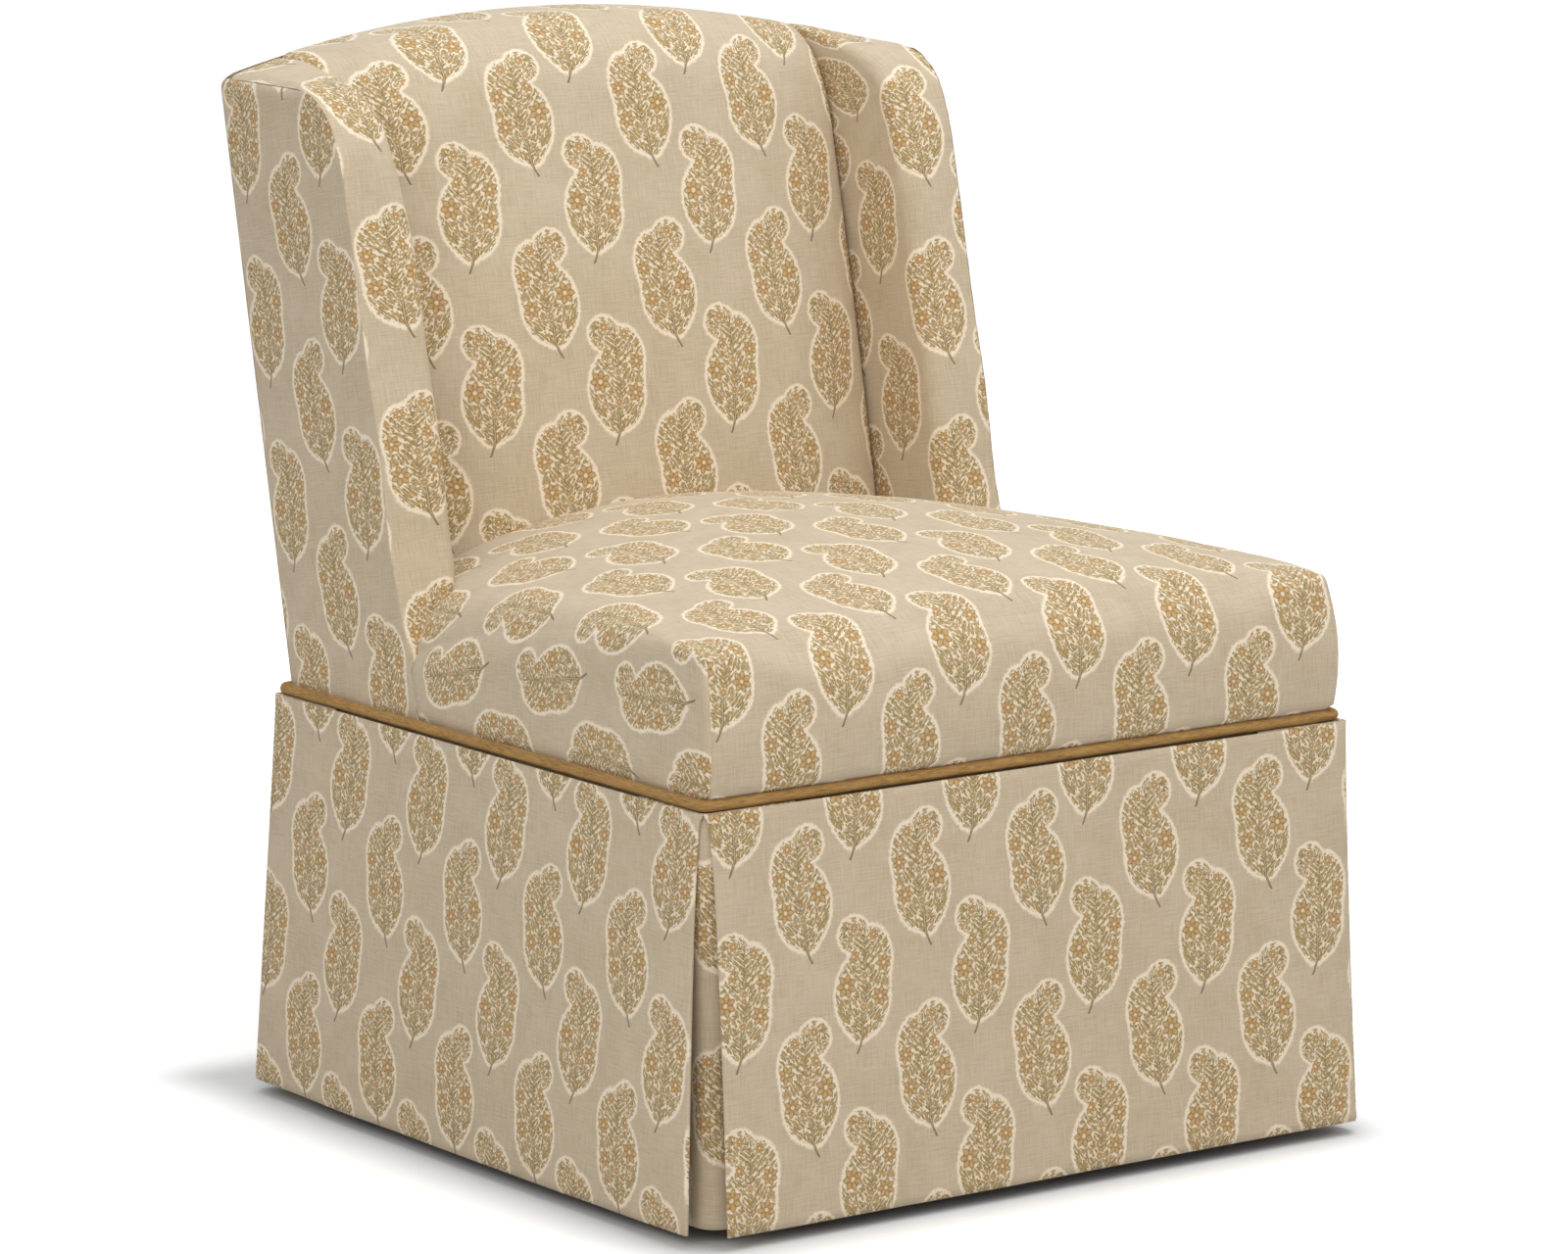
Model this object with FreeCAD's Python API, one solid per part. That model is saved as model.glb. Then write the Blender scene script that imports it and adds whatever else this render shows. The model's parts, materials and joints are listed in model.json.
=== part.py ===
"""Skirted slipper chair with shallow wings, in millimetres: hardwood frame, webbing, foam and fabric.

X runs across the chair, +Y towards its back and +Z up. The origin is on the floor, at the middle of the
chair's outline. Each function makes one piece, or one group of like pieces, in its place in the chair.
"""
import FreeCAD
import Part
import math
import os

V = FreeCAD.Vector

# Body of the chair
width = 639.0             # across the upholstered body, over both wings
body_depth = 610.0        # front face of the seat to the outside back, at the welt
welt_height = 360.0       # middle of the welt cord above the floor
crown_height = 917.0      # top of the back at its middle
wing_drop = 39.0          # top of the back down to the flat tops of the wings
back_rake = 11.4          # lean of the back, in degrees from upright
seat_deck_depth = 414.0   # front face of the seat to the front of the wings, at the welt
wing_lean = 13.7          # lean of the wings' front bands, in degrees from upright
wing_thickness = 57.5     # outer to inner face of a wing
wing_head_radius = 75.0   # round at the top front of a wing
wing_edge_radius = 17.0   # round between a wing's front band and its inner face
crown_end_inset = 44.5    # outer face of a wing to where the crown's arc meets its top
shoulder_radius = 12.0    # round at the upper corners of the outside back

# Inside back
back_side_depth = 87.0    # outside back to the face, beside the wings
back_middle_depth = 122.0
back_bow_side = 2.0       # how far the face bows out between its foot and its head, beside the wings
back_bow_middle = 8.0
head_height = 96.0        # height of the round over its head
head_depth = 58.0         # the same round, front to back
back_end_width = 16.0     # strip at each end where the cover turns into the gap beside the wing
back_end_draw = 9.0       # how far it is drawn in there
back_foot_rise = 40.0     # foot of the inside back above the welt, hidden behind the seat
back_foot_run = 20.0      # straight lowest part of its face

# Seat
seat_rear_inset = 62.0    # outside back to the hidden rear edge of the seat
front_rise = 138.0        # welt to the top of the seat at its front edge
front_fall = 6.0          # how much lower the front edge is towards the sides
front_shoulder = 13.0     # the further drop at the very corner
crown_rise = 163.0        # the same three half way back
crown_fall = 39.0
crown_shoulder = 44.0
rear_rise = 143.0         # and at the hidden rear edge
rear_fall = 75.0
rear_shoulder = 72.0
front_bulge = 6.0         # swell of the boxed front
front_draw = 1.5          # how far the boxed front is drawn in at its top
front_radius = 42.0       # round over the front edge
corner_radius = 10.0      # the same at the darted corners

# Cloth, padding and clearances
cover = 1.2               # thickness of the upholstery fabric
cover_hang = 14.0         # how far the covers run down the rails below the middle of the welt
foam_hang = 10.0
side_padding = 7.3        # between the fabric and the wood at the sides, front and back
wing_front_padding = 16.0
crown_padding = 13.0      # between the fabric and the top rail
fit_gap = 0.4             # between neighbouring soft pieces
seat_gap = 0.3            # where one piece rests on the next
welt_diameter = 9.5
welt_corner_radius = 0.9  # inner edge of the cord round a corner
welt_corner_steps = 3

# Skirt
hem_height = 12.0         # above the floor
skirt_cloth = 1.6         # lined fabric
skirt_stand = 11.5        # body to the outer face of a panel, just under the welt
hem_stand_front = 21.0    # the same at the hem
hem_stand_side = 18.0
hem_stand_rear = 45.0
pleat_gap_top = 4.4       # end of a panel to the corner, just under the welt
pleat_gap_hem = 25.0      # the same at the hem, in front
rear_pleat_gap_hem = 6.0  # and behind, where the pleats hang closed
fold_radius = 1.2         # middle line of the fold at the end of a panel
fold_return = 60.0        # cloth turned back behind a panel
panel_bow_top = 0.6       # how far the middle of a panel stands out, just under the welt
panel_bow_hem = 3.5
underlay_leg = 95.0       # cloth behind an open pleat, each way from the corner
underlay_radius = 9.0
tack_strip_height = 11.0
tack_strip_thickness = 1.4
tack_strip_gap = 0.1
tack_strip_inset = 12.0   # its ends from the corners of the body

# Wooden frame
rail_thickness = 25.0
rail_height = 110.0
rail_rise = 8.0           # top of the seat rails above the welt
post_thickness = 32.0     # back posts and wing boards, across the chair
post_depth = 38.0         # back posts, front to back, above the seat
post_seat_depth = 52.0    # the same beside the seat rails
post_foot_depth = 36.0
post_joint_margin = 10.0  # full depth of a post above and below the rails
post_bend_rise = 70.0     # top of the seat rails to the bend in the front of a post
post_bend_radius = 60.0
rear_leg_splay = 14.0     # how far a rear foot stands behind the seat frame
wing_upright_depth = 34.0
wing_head_height = 62.0   # round-headed board at the top of a wing
top_rail_height = 84.0
back_rail_thickness = 25.0
stay_rail_height = 60.0
stay_rail_rise = 68.0     # top of the seat rails to the lower edge of the stay rail
tenon_length = 36.0
tenon_thickness = 10.0
tenon_width = 36.0
narrow_tenon_width = 22.0
joint_clearance = 0.1
block_leg = 92.0          # corner blocks, along each rail
block_blunt = 14.0
block_thickness = 34.0

# Front legs and their fixings
leg_top = 48.0            # square, at the rails
leg_foot = 36.0
leg_head_height = 60.0    # untapered head
leg_inset = 1.0           # rails to the leg, under the corner block
glide_height = 6.0
glide_diameter = 26.0
bolt_diameter = 8.0
bolt_length = 90.0
bolt_stand = 8.0          # end of the bolt above its nut
nut_width = 13.0
nut_height = 6.5

# Webbing and cloth inside
strap_width = 52.0
strap_thickness = 1.6
strap_margin = 10.0       # least distance of a strap from the wood beside it
strap_end_inset = 3.0     # strap's end from the outer edge of its rail
long_strap_count = 5
long_strap_pitch = 108.0
front_strap_count = 4     # cross straps in front of the wing uprights
back_strap_count = 4
deck_pad = 3.0
deck_pad_inset = 90.0     # outside back to the rear edge of the deck pad
dust_cover_thickness = 0.8
dust_cover_inset = 3.0
dust_cover_slack = 2.0    # cloth to the legs

# Shares of the half width where the seat's and the back's outlines are drawn
seat_turns = (0.0, 26.0, 48.0, 68.0, 90.0)   # degrees, whose sines are the shares
back_shares = (0.0, 0.42, 0.77)
back_swell_power = 2.5

# Worked out from the sizes above
half_width = width / 2
wing_top = crown_height - wing_drop
rake = math.tan(math.radians(back_rake))
rake_cos = math.cos(math.radians(back_rake))
wing_slope = math.tan(math.radians(wing_lean))
wing_cos = math.cos(math.radians(wing_lean))
front_overhang = hem_stand_front + panel_bow_hem
rear_overhang = (crown_height - welt_height) * rake
front_y = (front_overhang - body_depth - rear_overhang) / 2
back_y = front_y + body_depth
rail_top = welt_height + rail_rise
rail_bottom = rail_top - rail_height
wood_inset = side_padding + cover
wood_x = half_width - wood_inset
wood_front = front_y + wood_inset
wood_rear = back_y - wood_inset
wood_top = wing_top - wood_inset
wing_inner_x = half_width - wing_thickness
post_inner_x = wood_x - post_thickness
side_rail_x = wood_x - rail_thickness
post_front_y = wood_rear - post_seat_depth
cover_bottom = welt_height - cover_hang
foam_skirt_bottom = welt_height - foam_hang
skirt_top = welt_height - welt_diameter / 2 - seat_gap
back_foot = welt_height + back_foot_rise
webbing_top = rail_top + 2 * strap_thickness
deck_pad_bottom = webbing_top + seat_gap
foam_bottom = deck_pad_bottom + deck_pad + seat_gap
frame_depth = wood_inset + post_depth
back_cavity = frame_depth + strap_thickness + seat_gap
upright_inset = cover + wing_front_padding + seat_gap
back_half = wing_inner_x - fit_gap
far = 2 * body_depth      # longer than any cut through the chair


def rear_y(z, forward=0.0):
    """Depth of the outside back at height z, or of a plane parallel to it and forward of it."""
    return back_y + (z - welt_height) * rake - forward / rake_cos


def wing_front_y(z, inward=0.0):
    """Depth of the wings' front bands at height z, or of a plane behind them."""
    return front_y + seat_deck_depth + (z - welt_height) * wing_slope + inward / wing_cos


def line(start, end):
    return Part.LineSegment(start, end).toShape()


def arc(start, middle, end):
    return Part.Arc(start, middle, end).toShape()


def rounded_wire(points, radii):
    """Closed outline of straight runs, with a tangent arc at each corner that has a radius."""
    starts, ends, corners = [], [], []
    for i, (corner, radius) in enumerate(zip(points, radii)):
        to_last = (points[i - 1] - corner).normalize()
        to_next = (points[(i + 1) % len(points)] - corner).normalize()
        half = to_last.getAngle(to_next) / 2
        reach = radius / math.tan(half)
        starts.append(corner + to_last * reach)
        ends.append(corner + to_next * reach)
        inner = (to_last + to_next).normalize() * (radius / math.sin(half) - radius)
        corners.append([arc(starts[i], corner + inner, ends[i])] if radius > 0 else [])
    edges = []
    for i in range(len(points)):
        edges += corners[i] + [line(ends[i], starts[(i + 1) % len(points)])]
    return Part.Wire(edges)


def rounded_face(points, radii):
    return Part.Face(rounded_wire(points, radii))


def plain_face(points):
    return rounded_face(points, [0] * len(points))


def side_prism(profile, radii, x_low, x_high):
    """Solid with a side outline of (y, z) points, between two planes across the chair."""
    return rounded_face([V(x_low, y, z) for y, z in profile], radii).extrude(V(x_high - x_low, 0, 0))


def box(x_low, x_high, y_low, y_high, z_low, z_high):
    return Part.makeBox(x_high - x_low, y_high - y_low, z_high - z_low, V(x_low, y_low, z_low))


def cylinder(radius, centre, direction, length):
    return Part.makeCylinder(radius, length, centre, direction)


def mirrored(shape):
    """The same piece for the other side of the chair."""
    return shape.mirror(V(0, 0, 0), V(1, 0, 0))


def both_sides(shapes):
    """Pieces of the right half with those of the left half, as one group."""
    return Part.makeCompound(shapes + [mirrored(s) for s in shapes])


def main_solid(shape, tools=()):
    """What is left of a shape after its cuts, without slivers."""
    for tool in tools:
        shape = shape.cut(tool)
    return max(shape.Solids, key=lambda s: s.Volume)


def ruled_loft(wires):
    return Part.makeLoft(wires, True, True)


# Soft forms

def crown_z(x, drop=0.0):
    """Height at x of the arc over the back."""
    half_span = half_width - crown_end_inset
    radius = (half_span ** 2 + wing_drop ** 2) / (2 * wing_drop)
    return crown_height - drop - radius + math.sqrt(radius ** 2 - x ** 2)


def crowned_prism(drop, half_span, z_low):
    """Everything under the arc over the back, between two upright planes."""
    left, right = (V(x, front_y, crown_z(half_span, drop)) for x in (-half_span, half_span))
    low_left, low_right = V(-half_span, front_y, z_low), V(half_span, front_y, z_low)
    edges = [arc(left, V(0, front_y, crown_height - drop), right), line(right, low_right),
             line(low_right, low_left), line(low_left, left)]
    return Part.Face(Part.Wire(edges)).extrude(V(0, far, 0))


def raked_slab(forward_low, forward_high, z_low, z_high, x_half):
    """Slab parallel to the outside back, between two distances in front of it."""
    profile = [(rear_y(z_low, forward_high), z_low), (rear_y(z_high, forward_high), z_high),
               (rear_y(z_high, forward_low), z_high), (rear_y(z_low, forward_low), z_low)]
    return side_prism(profile, [0] * 4, -x_half, x_half)


def shoulders(side_in, top_in, radius, z_low):
    """Upright outline of the outside back up to the tops of the wings, as a prism."""
    x, top = half_width - side_in, wing_top - top_in
    points = [V(-x, front_y, z_low), V(x, front_y, z_low), V(x, front_y, top), V(-x, front_y, top)]
    return rounded_face(points, [0, 0, radius, radius]).extrude(V(0, far, 0))


def frame_room(grow, z_low, forward_low, forward_high):
    """Space of the wooden back, grown or shrunk upwards, between two planes parallel to the outside back."""
    crown = crowned_prism(crown_padding - grow, post_inner_x, z_low)
    outline = crown.fuse(shoulders(wood_inset, wood_inset - grow, 0, z_low)).removeSplitter()
    return outline.common(raked_slab(forward_low, forward_high, z_low, crown_height, half_width))


def wing_profile(bottom, front_in, top_in, rear_in):
    """Side outline of a wing: raked front and rear, flat top and a round head."""
    top = wing_top - top_in
    points = [(wing_front_y(bottom, front_in), bottom), (wing_front_y(top, front_in), top),
              (rear_y(top, rear_in), top), (rear_y(bottom, rear_in), bottom)]
    return points, [0, wing_head_radius - max(front_in, top_in), 0, 0]


def wing_form(bottom, inward, rear_in, outer_x):
    """Body of the right wing, with a round along the front and top of its inner face."""
    points, radii = wing_profile(bottom, inward, inward, rear_in)
    inner_x = wing_inner_x + inward
    body = side_prism(points, radii, inner_x, outer_x)
    rear_foot = V(inner_x, *points[3])
    inner_face = [f for f in body.Faces if all(abs(v.X - inner_x) < joint_clearance for v in f.Vertexes)][0]
    rounded = [e for e in inner_face.Edges
               if all(v.Point.distanceToPoint(rear_foot) > joint_clearance for v in e.Vertexes)]
    return body.makeFillet(wing_edge_radius - inward, rounded)


def back_section(share, inward, rear_in, half_span, foot):
    """Side outline of the inside back: bowed face, round head, flat top and a plane rear."""
    x = share * half_span
    end_start = 1 - back_end_width / back_half
    swell = 1 - abs(share) ** back_swell_power
    ending = max(0.0, (abs(share) - end_start) / (1 - end_start))
    drawn = inward + back_end_draw * (1 - math.sqrt(1 - ending ** 2))
    bow = back_bow_side + (back_bow_middle - back_bow_side) * swell
    depth = back_side_depth + (back_middle_depth - back_side_depth) * swell - bow
    radius = (head_depth ** 2 + head_height ** 2) / (2 * head_depth)
    turn = math.asin(head_height / radius)
    spring_z = crown_z(x) - head_height

    def at(forward, z):
        return V(x, rear_y(z, forward), z)

    def on_head(angle):
        inner = radius - drawn
        return at(depth - radius + inner * math.cos(angle), spring_z + inner * math.sin(angle))

    run_z = back_foot + back_foot_run
    run_top = at(depth - drawn, run_z)
    middle = at(depth + bow - drawn, (run_z + spring_z) / 2)
    top = on_head(turn)
    rear_top = V(x, rear_y(top.z, rear_in), top.z)
    return Part.Wire([
        line(at(depth - drawn, foot), run_top),
        arc(run_top, middle, on_head(0)),
        arc(on_head(0), on_head(turn / 2), top),
        line(top, rear_top),
        line(rear_top, at(rear_in, foot)),
        line(at(rear_in, foot), at(depth - drawn, foot)),
    ])


def back_form(inward, rear_in, side_in, foot):
    """Crowned body of the inside back, between the wings, down to a foot below the face's own."""
    end_start = 1 - back_end_width / back_half
    shares = list(back_shares) + [end_start, 1.0]
    ordered = [-s for s in reversed(shares[1:])] + shares
    return ruled_loft([back_section(s, inward, rear_in, back_half - side_in, foot) for s in ordered])


def seat_section(turn, side, inward, bottom):
    """Side outline of the seat at one station: boxed front, round edge, crowned top and a plane rear."""
    across, away = math.sin(math.radians(turn)), 1 - math.cos(math.radians(turn))

    def top_z(rise, fall, shoulder):
        return welt_height + rise - fall * across ** 2 - shoulder * away ** 2 - inward

    x = side * across * (half_width - inward)
    radius = (corner_radius if turn == seat_turns[-1] else front_radius) - inward
    front_z = top_z(front_rise, front_fall, front_shoulder)
    face_y, drawn_y, rear = front_y + inward, front_y + inward + front_draw, back_y - seat_rear_inset
    low = V(x, face_y, bottom)
    welt = V(x, face_y, welt_height + welt_diameter / 2)
    spring = V(x, drawn_y, front_z - radius)
    swell = V(x, face_y - front_bulge, (welt.z + spring.z) / 2)
    slack = radius * (1 - math.sqrt(0.5))
    edge = V(x, drawn_y + slack, front_z - slack)
    front_top = V(x, drawn_y + radius, front_z)
    crown = V(x, (front_y + rear) / 2, top_z(crown_rise, crown_fall, crown_shoulder))
    rear_top = V(x, rear, top_z(rear_rise, rear_fall, rear_shoulder))
    rear_low = V(x, rear, bottom)
    return Part.Wire([line(low, welt), arc(welt, swell, spring), arc(spring, edge, front_top),
                      arc(front_top, crown, rear_top), line(rear_top, rear_low), line(rear_low, low)])


def seat_form(inward, bottom):
    """Crowned body of the seat over its full width, before it is cut round the wings and the back."""
    stations = [(t, -1) for t in reversed(seat_turns[1:])] + [(t, 1) for t in seat_turns]
    return ruled_loft([seat_section(turn, side, inward, bottom) for turn, side in stations])


def seat_neighbours():
    """What the seat is cut round, with a little room: both wings, and the inside back down to its foot."""
    wing = wing_form(cover_bottom - cover_hang, -fit_gap, -far, half_width + wing_thickness)
    back = back_form(-fit_gap, -far / 2, -fit_gap, back_foot - fit_gap)
    return [wing, mirrored(wing), back]


# Covers, foam and padding

def make_seat_cover(neighbours):
    inner = seat_form(cover, cover_bottom - cover_hang)
    behind = box(-width, width, back_y - seat_rear_inset - cover, far, 0, back_foot)
    return main_solid(seat_form(0.0, cover_bottom).cut(inner), neighbours + [behind])


def make_seat_foam(neighbours):
    frame_x = wood_x + seat_gap
    frame = box(-frame_x, frame_x, wood_front - seat_gap, far, 0, foam_bottom)
    return main_solid(seat_form(cover + fit_gap, foam_skirt_bottom), [frame] + neighbours)


def make_inside_back_cover():
    inner = back_form(cover, -body_depth / 2, cover, back_foot - cover_hang)
    return main_solid(back_form(0.0, cover + fit_gap, 0.0, back_foot).cut(inner), [frame_room(0, 0, -body_depth / 2, back_cavity)])


def make_back_foam():
    inset = cover + fit_gap
    return main_solid(back_form(inset, inset, inset, back_foot), [frame_room(0, 0, -body_depth / 2, back_cavity)])


def make_outside_back_cover():
    crown = crowned_prism(0, half_width - crown_end_inset, cover_bottom)
    outline = crown.fuse(shoulders(0, 0, shoulder_radius, cover_bottom)).removeSplitter()
    return main_solid(outline.common(raked_slab(0, cover, cover_bottom, crown_height, half_width)))


def make_outside_back_wadding():
    return main_solid(frame_room(-seat_gap, rail_top + seat_gap, cover + fit_gap, wood_inset - seat_gap))


def wing_frame_room():
    """Room beside the inner face of the right wing for the back's rails and webbing."""
    inner_side = box(0, post_inner_x, front_y, far, 0, crown_height)
    return frame_room(0, 0, -body_depth / 2, back_cavity).common(inner_side)


def rail_room():
    """Room over the seat rails for the webbing."""
    x = wood_x + seat_gap
    return box(-x, x, wood_front - seat_gap, far, 0, deck_pad_bottom)


def make_wing_cover():
    inset = cover + fit_gap
    outer = wing_form(cover_bottom, 0.0, inset, half_width - inset)
    inner = wing_form(cover_bottom - cover_hang, cover, -body_depth / 2, half_width)
    return main_solid(outer.cut(inner), [wing_frame_room(), rail_room()])


def make_outside_wing_cover():
    points, radii = wing_profile(cover_bottom, 0.0, 0.0, cover + fit_gap)
    return side_prism(points, radii, half_width - cover, half_width)


def make_wing_foam():
    inset = cover + fit_gap
    foam = wing_form(foam_skirt_bottom, inset, inset, half_width - inset)
    points, radii = wing_profile(cover_bottom, cover + wing_front_padding, wood_inset, -body_depth / 2)
    boards = side_prism(points, radii, post_inner_x - seat_gap, wood_x + seat_gap)
    return main_solid(foam, [boards, rail_room(), wing_frame_room()])


# Skirt and welt

def stand(share, at_hem):
    """Distance of a panel's outer face from the body, from the welt (0) to the hem (1)."""
    return skirt_stand + (at_hem - skirt_stand) * share


def skirt_corner(share):
    """Half width, front and rear of the skirt's outer faces, from the welt (0) to the hem (1)."""
    half = half_width + stand(share, hem_stand_side)
    return half, front_y - stand(share, hem_stand_front), back_y + stand(share, hem_stand_rear)


def skirt_z(share):
    return skirt_top + (hem_height - skirt_top) * share


def fold_edges(end, way, radius, depth, place):
    """Half turn of a fold, as two quarters, from the outer side of a panel to the inner."""
    points = []
    for step in range(5):
        angle = math.radians(45 * step)
        run = end + way * radius * math.sin(angle)
        points.append(place(run, depth / 2 - radius * math.cos(angle)))
    return [arc(*points[0:3]), arc(*points[2:5])]


def panel_wire(low, high, bow, place):
    """Plan outline of a hanging panel whose ends turn back behind it. place(run, depth) gives its points."""
    outer, inner = fold_radius + skirt_cloth / 2, fold_radius - skirt_cloth / 2
    depth = 2 * outer
    left, right, middle = low + outer, high - outer, (low + high) / 2
    back = depth - skirt_cloth
    face = arc(place(left, 0), place(middle, -bow), place(right, 0))
    inside = arc(place(left, skirt_cloth), place(middle, skirt_cloth - bow), place(right, skirt_cloth))
    edges = [face, inside]
    for end, way in ((left, -1), (right, 1)):
        tip = end - way * fold_return
        edges += fold_edges(end, way, outer, depth, place) + fold_edges(end, way, inner, depth, place)
        edges += [line(place(end, depth), place(tip, depth)), line(place(tip, depth), place(tip, back)),
                  line(place(tip, back), place(end, back))]
    return Part.Wire(Part.sortEdges(edges)[0])


def make_panel(side):
    """Hanging panel of the skirt: front, rear, left or right."""
    wires = []
    for share in (0.0, 1.0):
        half, front, rear = skirt_corner(share)
        z = skirt_z(share)
        gap = pleat_gap_top + (pleat_gap_hem - pleat_gap_top) * share
        rear_gap = pleat_gap_top + (rear_pleat_gap_hem - pleat_gap_top) * share
        bow = panel_bow_top + (panel_bow_hem - panel_bow_top) * share
        across = (-half + gap, half - gap, bow)
        across_rear = (-half + rear_gap, half - rear_gap, bow)
        along = (front + gap, rear - rear_gap, bow)
        wires.append({
            "front": lambda: panel_wire(*across, lambda run, depth: V(run, front + depth, z)),
            "rear": lambda: panel_wire(*across_rear, lambda run, depth: V(run, rear - depth, z)),
            "left": lambda: panel_wire(*along, lambda run, depth: V(-half + depth, run, z)),
            "right": lambda: panel_wire(*along, lambda run, depth: V(half - depth, run, z)),
        }[side]())
    return ruled_loft(wires)


def make_pleat(side, front):
    """Underlay behind the open pleat at one corner of the skirt."""
    behind = 2 * fold_radius + skirt_cloth + seat_gap
    wires = []
    for share in (0.0, 1.0):
        half, front_face, rear_face = skirt_corner(share)
        inward = 1 if front else -1
        corner_x, corner_y = side * (half - behind), (front_face if front else rear_face) + inward * behind

        def at(across, along):
            return V(corner_x - side * across, corner_y + inward * along, skirt_z(share))

        points = [at(0, underlay_leg), at(0, 0), at(underlay_leg, 0), at(underlay_leg, skirt_cloth),
                  at(skirt_cloth, skirt_cloth), at(skirt_cloth, underlay_leg)]
        wires.append(rounded_wire(points, [0, underlay_radius, 0, 0, underlay_radius - skirt_cloth, 0]))
    return ruled_loft(wires)


def plan_ring(distance, radius, z):
    """Closed path round the body at a distance from its faces, with round corners."""
    half = half_width + distance
    front, rear = front_y - distance, back_y + distance
    points = [V(-half, front, z), V(half, front, z), V(half, rear, z), V(-half, rear, z)]
    return rounded_wire(points, [radius] * 4)


def make_welt():
    """Covered cord round the body, as straight runs and turned corners."""
    cord_radius = welt_diameter / 2
    turn_radius = welt_corner_radius + cord_radius
    path = plan_ring(cord_radius + seat_gap, turn_radius, welt_height)
    runs = []
    for edge in path.Edges:
        steps = 1 if edge.Curve.TypeId == "Part::GeomLine" else welt_corner_steps
        span = (edge.LastParameter - edge.FirstParameter) / steps
        places = [edge.FirstParameter + span * i for i in range(steps + 1)]
        rings = [Part.Wire(Part.makeCircle(cord_radius, edge.valueAt(p), edge.tangentAt(p))) for p in places]
        runs.append(ruled_loft(rings))
    return runs[0].multiFuse(runs[1:]).removeSplitter()


def make_tack_strips():
    """Stiff strips that the skirt is tacked along, one on each side of the body."""
    low, end, thick = skirt_top - tack_strip_height, tack_strip_inset, tack_strip_thickness
    near, out, x = tack_strip_gap, tack_strip_gap + thick, half_width
    return Part.makeCompound([
        box(end - x, x - end, front_y - out, front_y - near, low, skirt_top),
        raked_slab(-out, -near, low, skirt_top, x - end),
        box(-x - out, -x - near, front_y + end, back_y - end, low, skirt_top),
        box(x + near, x + out, front_y + end, back_y - end, low, skirt_top),
    ])


# Wooden frame

def tenon(centre, along, across, tall, grow):
    """Loose tenon, or its mortise, which is larger all round. Sizes are given along x, y and z."""
    size = [length + 2 * grow for length in (along, across, tall)]
    low = centre - V(*size) / 2
    return box(low.x, low.x + size[0], low.y, low.y + size[1], low.z, low.z + size[2])


def tenons(grow):
    """Tenons of the right half, or their mortises, across each joint of the frame."""
    rail_middle = (rail_top + rail_bottom) / 2
    rail_x, board_x = wood_x - rail_thickness / 2, wood_x - post_thickness / 2
    rail_y = wood_rear - rail_thickness / 2
    half_rail = wood_inset + back_rail_thickness / 2
    stay_z = rail_top + stay_rail_rise + stay_rail_height / 2
    top_z = wood_top - top_rail_height / 2
    head_z, head_low = wood_top - wing_head_height / 2, wood_top - wing_head_height
    upright_middle = upright_inset + wing_upright_depth / 2
    long, thick, wide, narrow = tenon_length, tenon_thickness, tenon_width, narrow_tenon_width
    return [
        tenon(V(rail_x, wood_front + rail_thickness, rail_middle), thick, long, wide, grow),
        tenon(V(rail_x, post_front_y, rail_middle), thick, long, wide, grow),
        tenon(V(post_inner_x, rail_y, rail_middle), long, thick, wide, grow),
        tenon(V(post_inner_x, rear_y(stay_z, half_rail), stay_z), long, thick, wide, grow),
        tenon(V(post_inner_x, rear_y(top_z, half_rail), top_z), long, thick, wide, grow),
        tenon(V(rail_x, wing_front_y(rail_top, upright_middle), rail_top), thick, narrow, long, grow),
        tenon(V(board_x, wing_front_y(head_low, upright_middle), head_low), thick, narrow, long, grow),
        tenon(V(board_x, rear_y(head_z, frame_depth), head_z), thick, long, narrow, grow),
    ]


def morticed(shape, mortises):
    """A wooden piece with whichever of the mortises reach it, on either side of the chair."""
    for mortise in mortises + [mirrored(m) for m in mortises]:
        if shape.BoundBox.intersect(mortise.BoundBox):
            shape = shape.cut(mortise)
    return shape


def make_back_post():
    """Right back post and rear leg in one board: splayed foot, upright at the seat, raked above it."""
    bend = rail_top + post_bend_rise
    foot_y = wood_rear + rear_leg_splay
    profile = [
        (foot_y - post_foot_depth, glide_height),
        (post_front_y, rail_bottom - post_joint_margin),
        (post_front_y, rail_top + post_joint_margin),
        (rear_y(bend, frame_depth), bend),
        (rear_y(wood_top, frame_depth), wood_top),
        (rear_y(wood_top, wood_inset), wood_top),
        (rear_y(welt_height, wood_inset), welt_height),
        (wood_rear, rail_bottom),
        (foot_y, glide_height),
    ]
    return side_prism(profile, [0, 0, 0, post_bend_radius, 0, 0, 0, 0, 0], post_inner_x, wood_x)


def make_wing_upright():
    """Front member of the right wing, standing on the side rail."""
    top, front, back = wood_top - wing_head_height, upright_inset, upright_inset + wing_upright_depth
    profile = [(wing_front_y(rail_top, front), rail_top), (wing_front_y(top, front), top),
               (wing_front_y(top, back), top), (wing_front_y(rail_top, back), rail_top)]
    return side_prism(profile, [0] * 4, post_inner_x, wood_x)


def make_wing_head_board():
    """Round-headed board of the right wing, from the upright to the back post."""
    points, radii = wing_profile(wood_top - wing_head_height, upright_inset, wood_inset + seat_gap, frame_depth)
    return side_prism(points, radii, post_inner_x, wood_x)


def make_top_rail():
    """Crowned rail between the back posts."""
    low = wood_top - top_rail_height
    slab = raked_slab(wood_inset, wood_inset + back_rail_thickness, low, crown_height, post_inner_x)
    return main_solid(slab.common(crowned_prism(crown_padding + seat_gap, post_inner_x, low)))


def make_stay_rail():
    """Lower rail of the back, where the covers are pulled through."""
    low = rail_top + stay_rail_rise
    return raked_slab(wood_inset, wood_inset + back_rail_thickness, low, low + stay_rail_height, post_inner_x)


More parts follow.
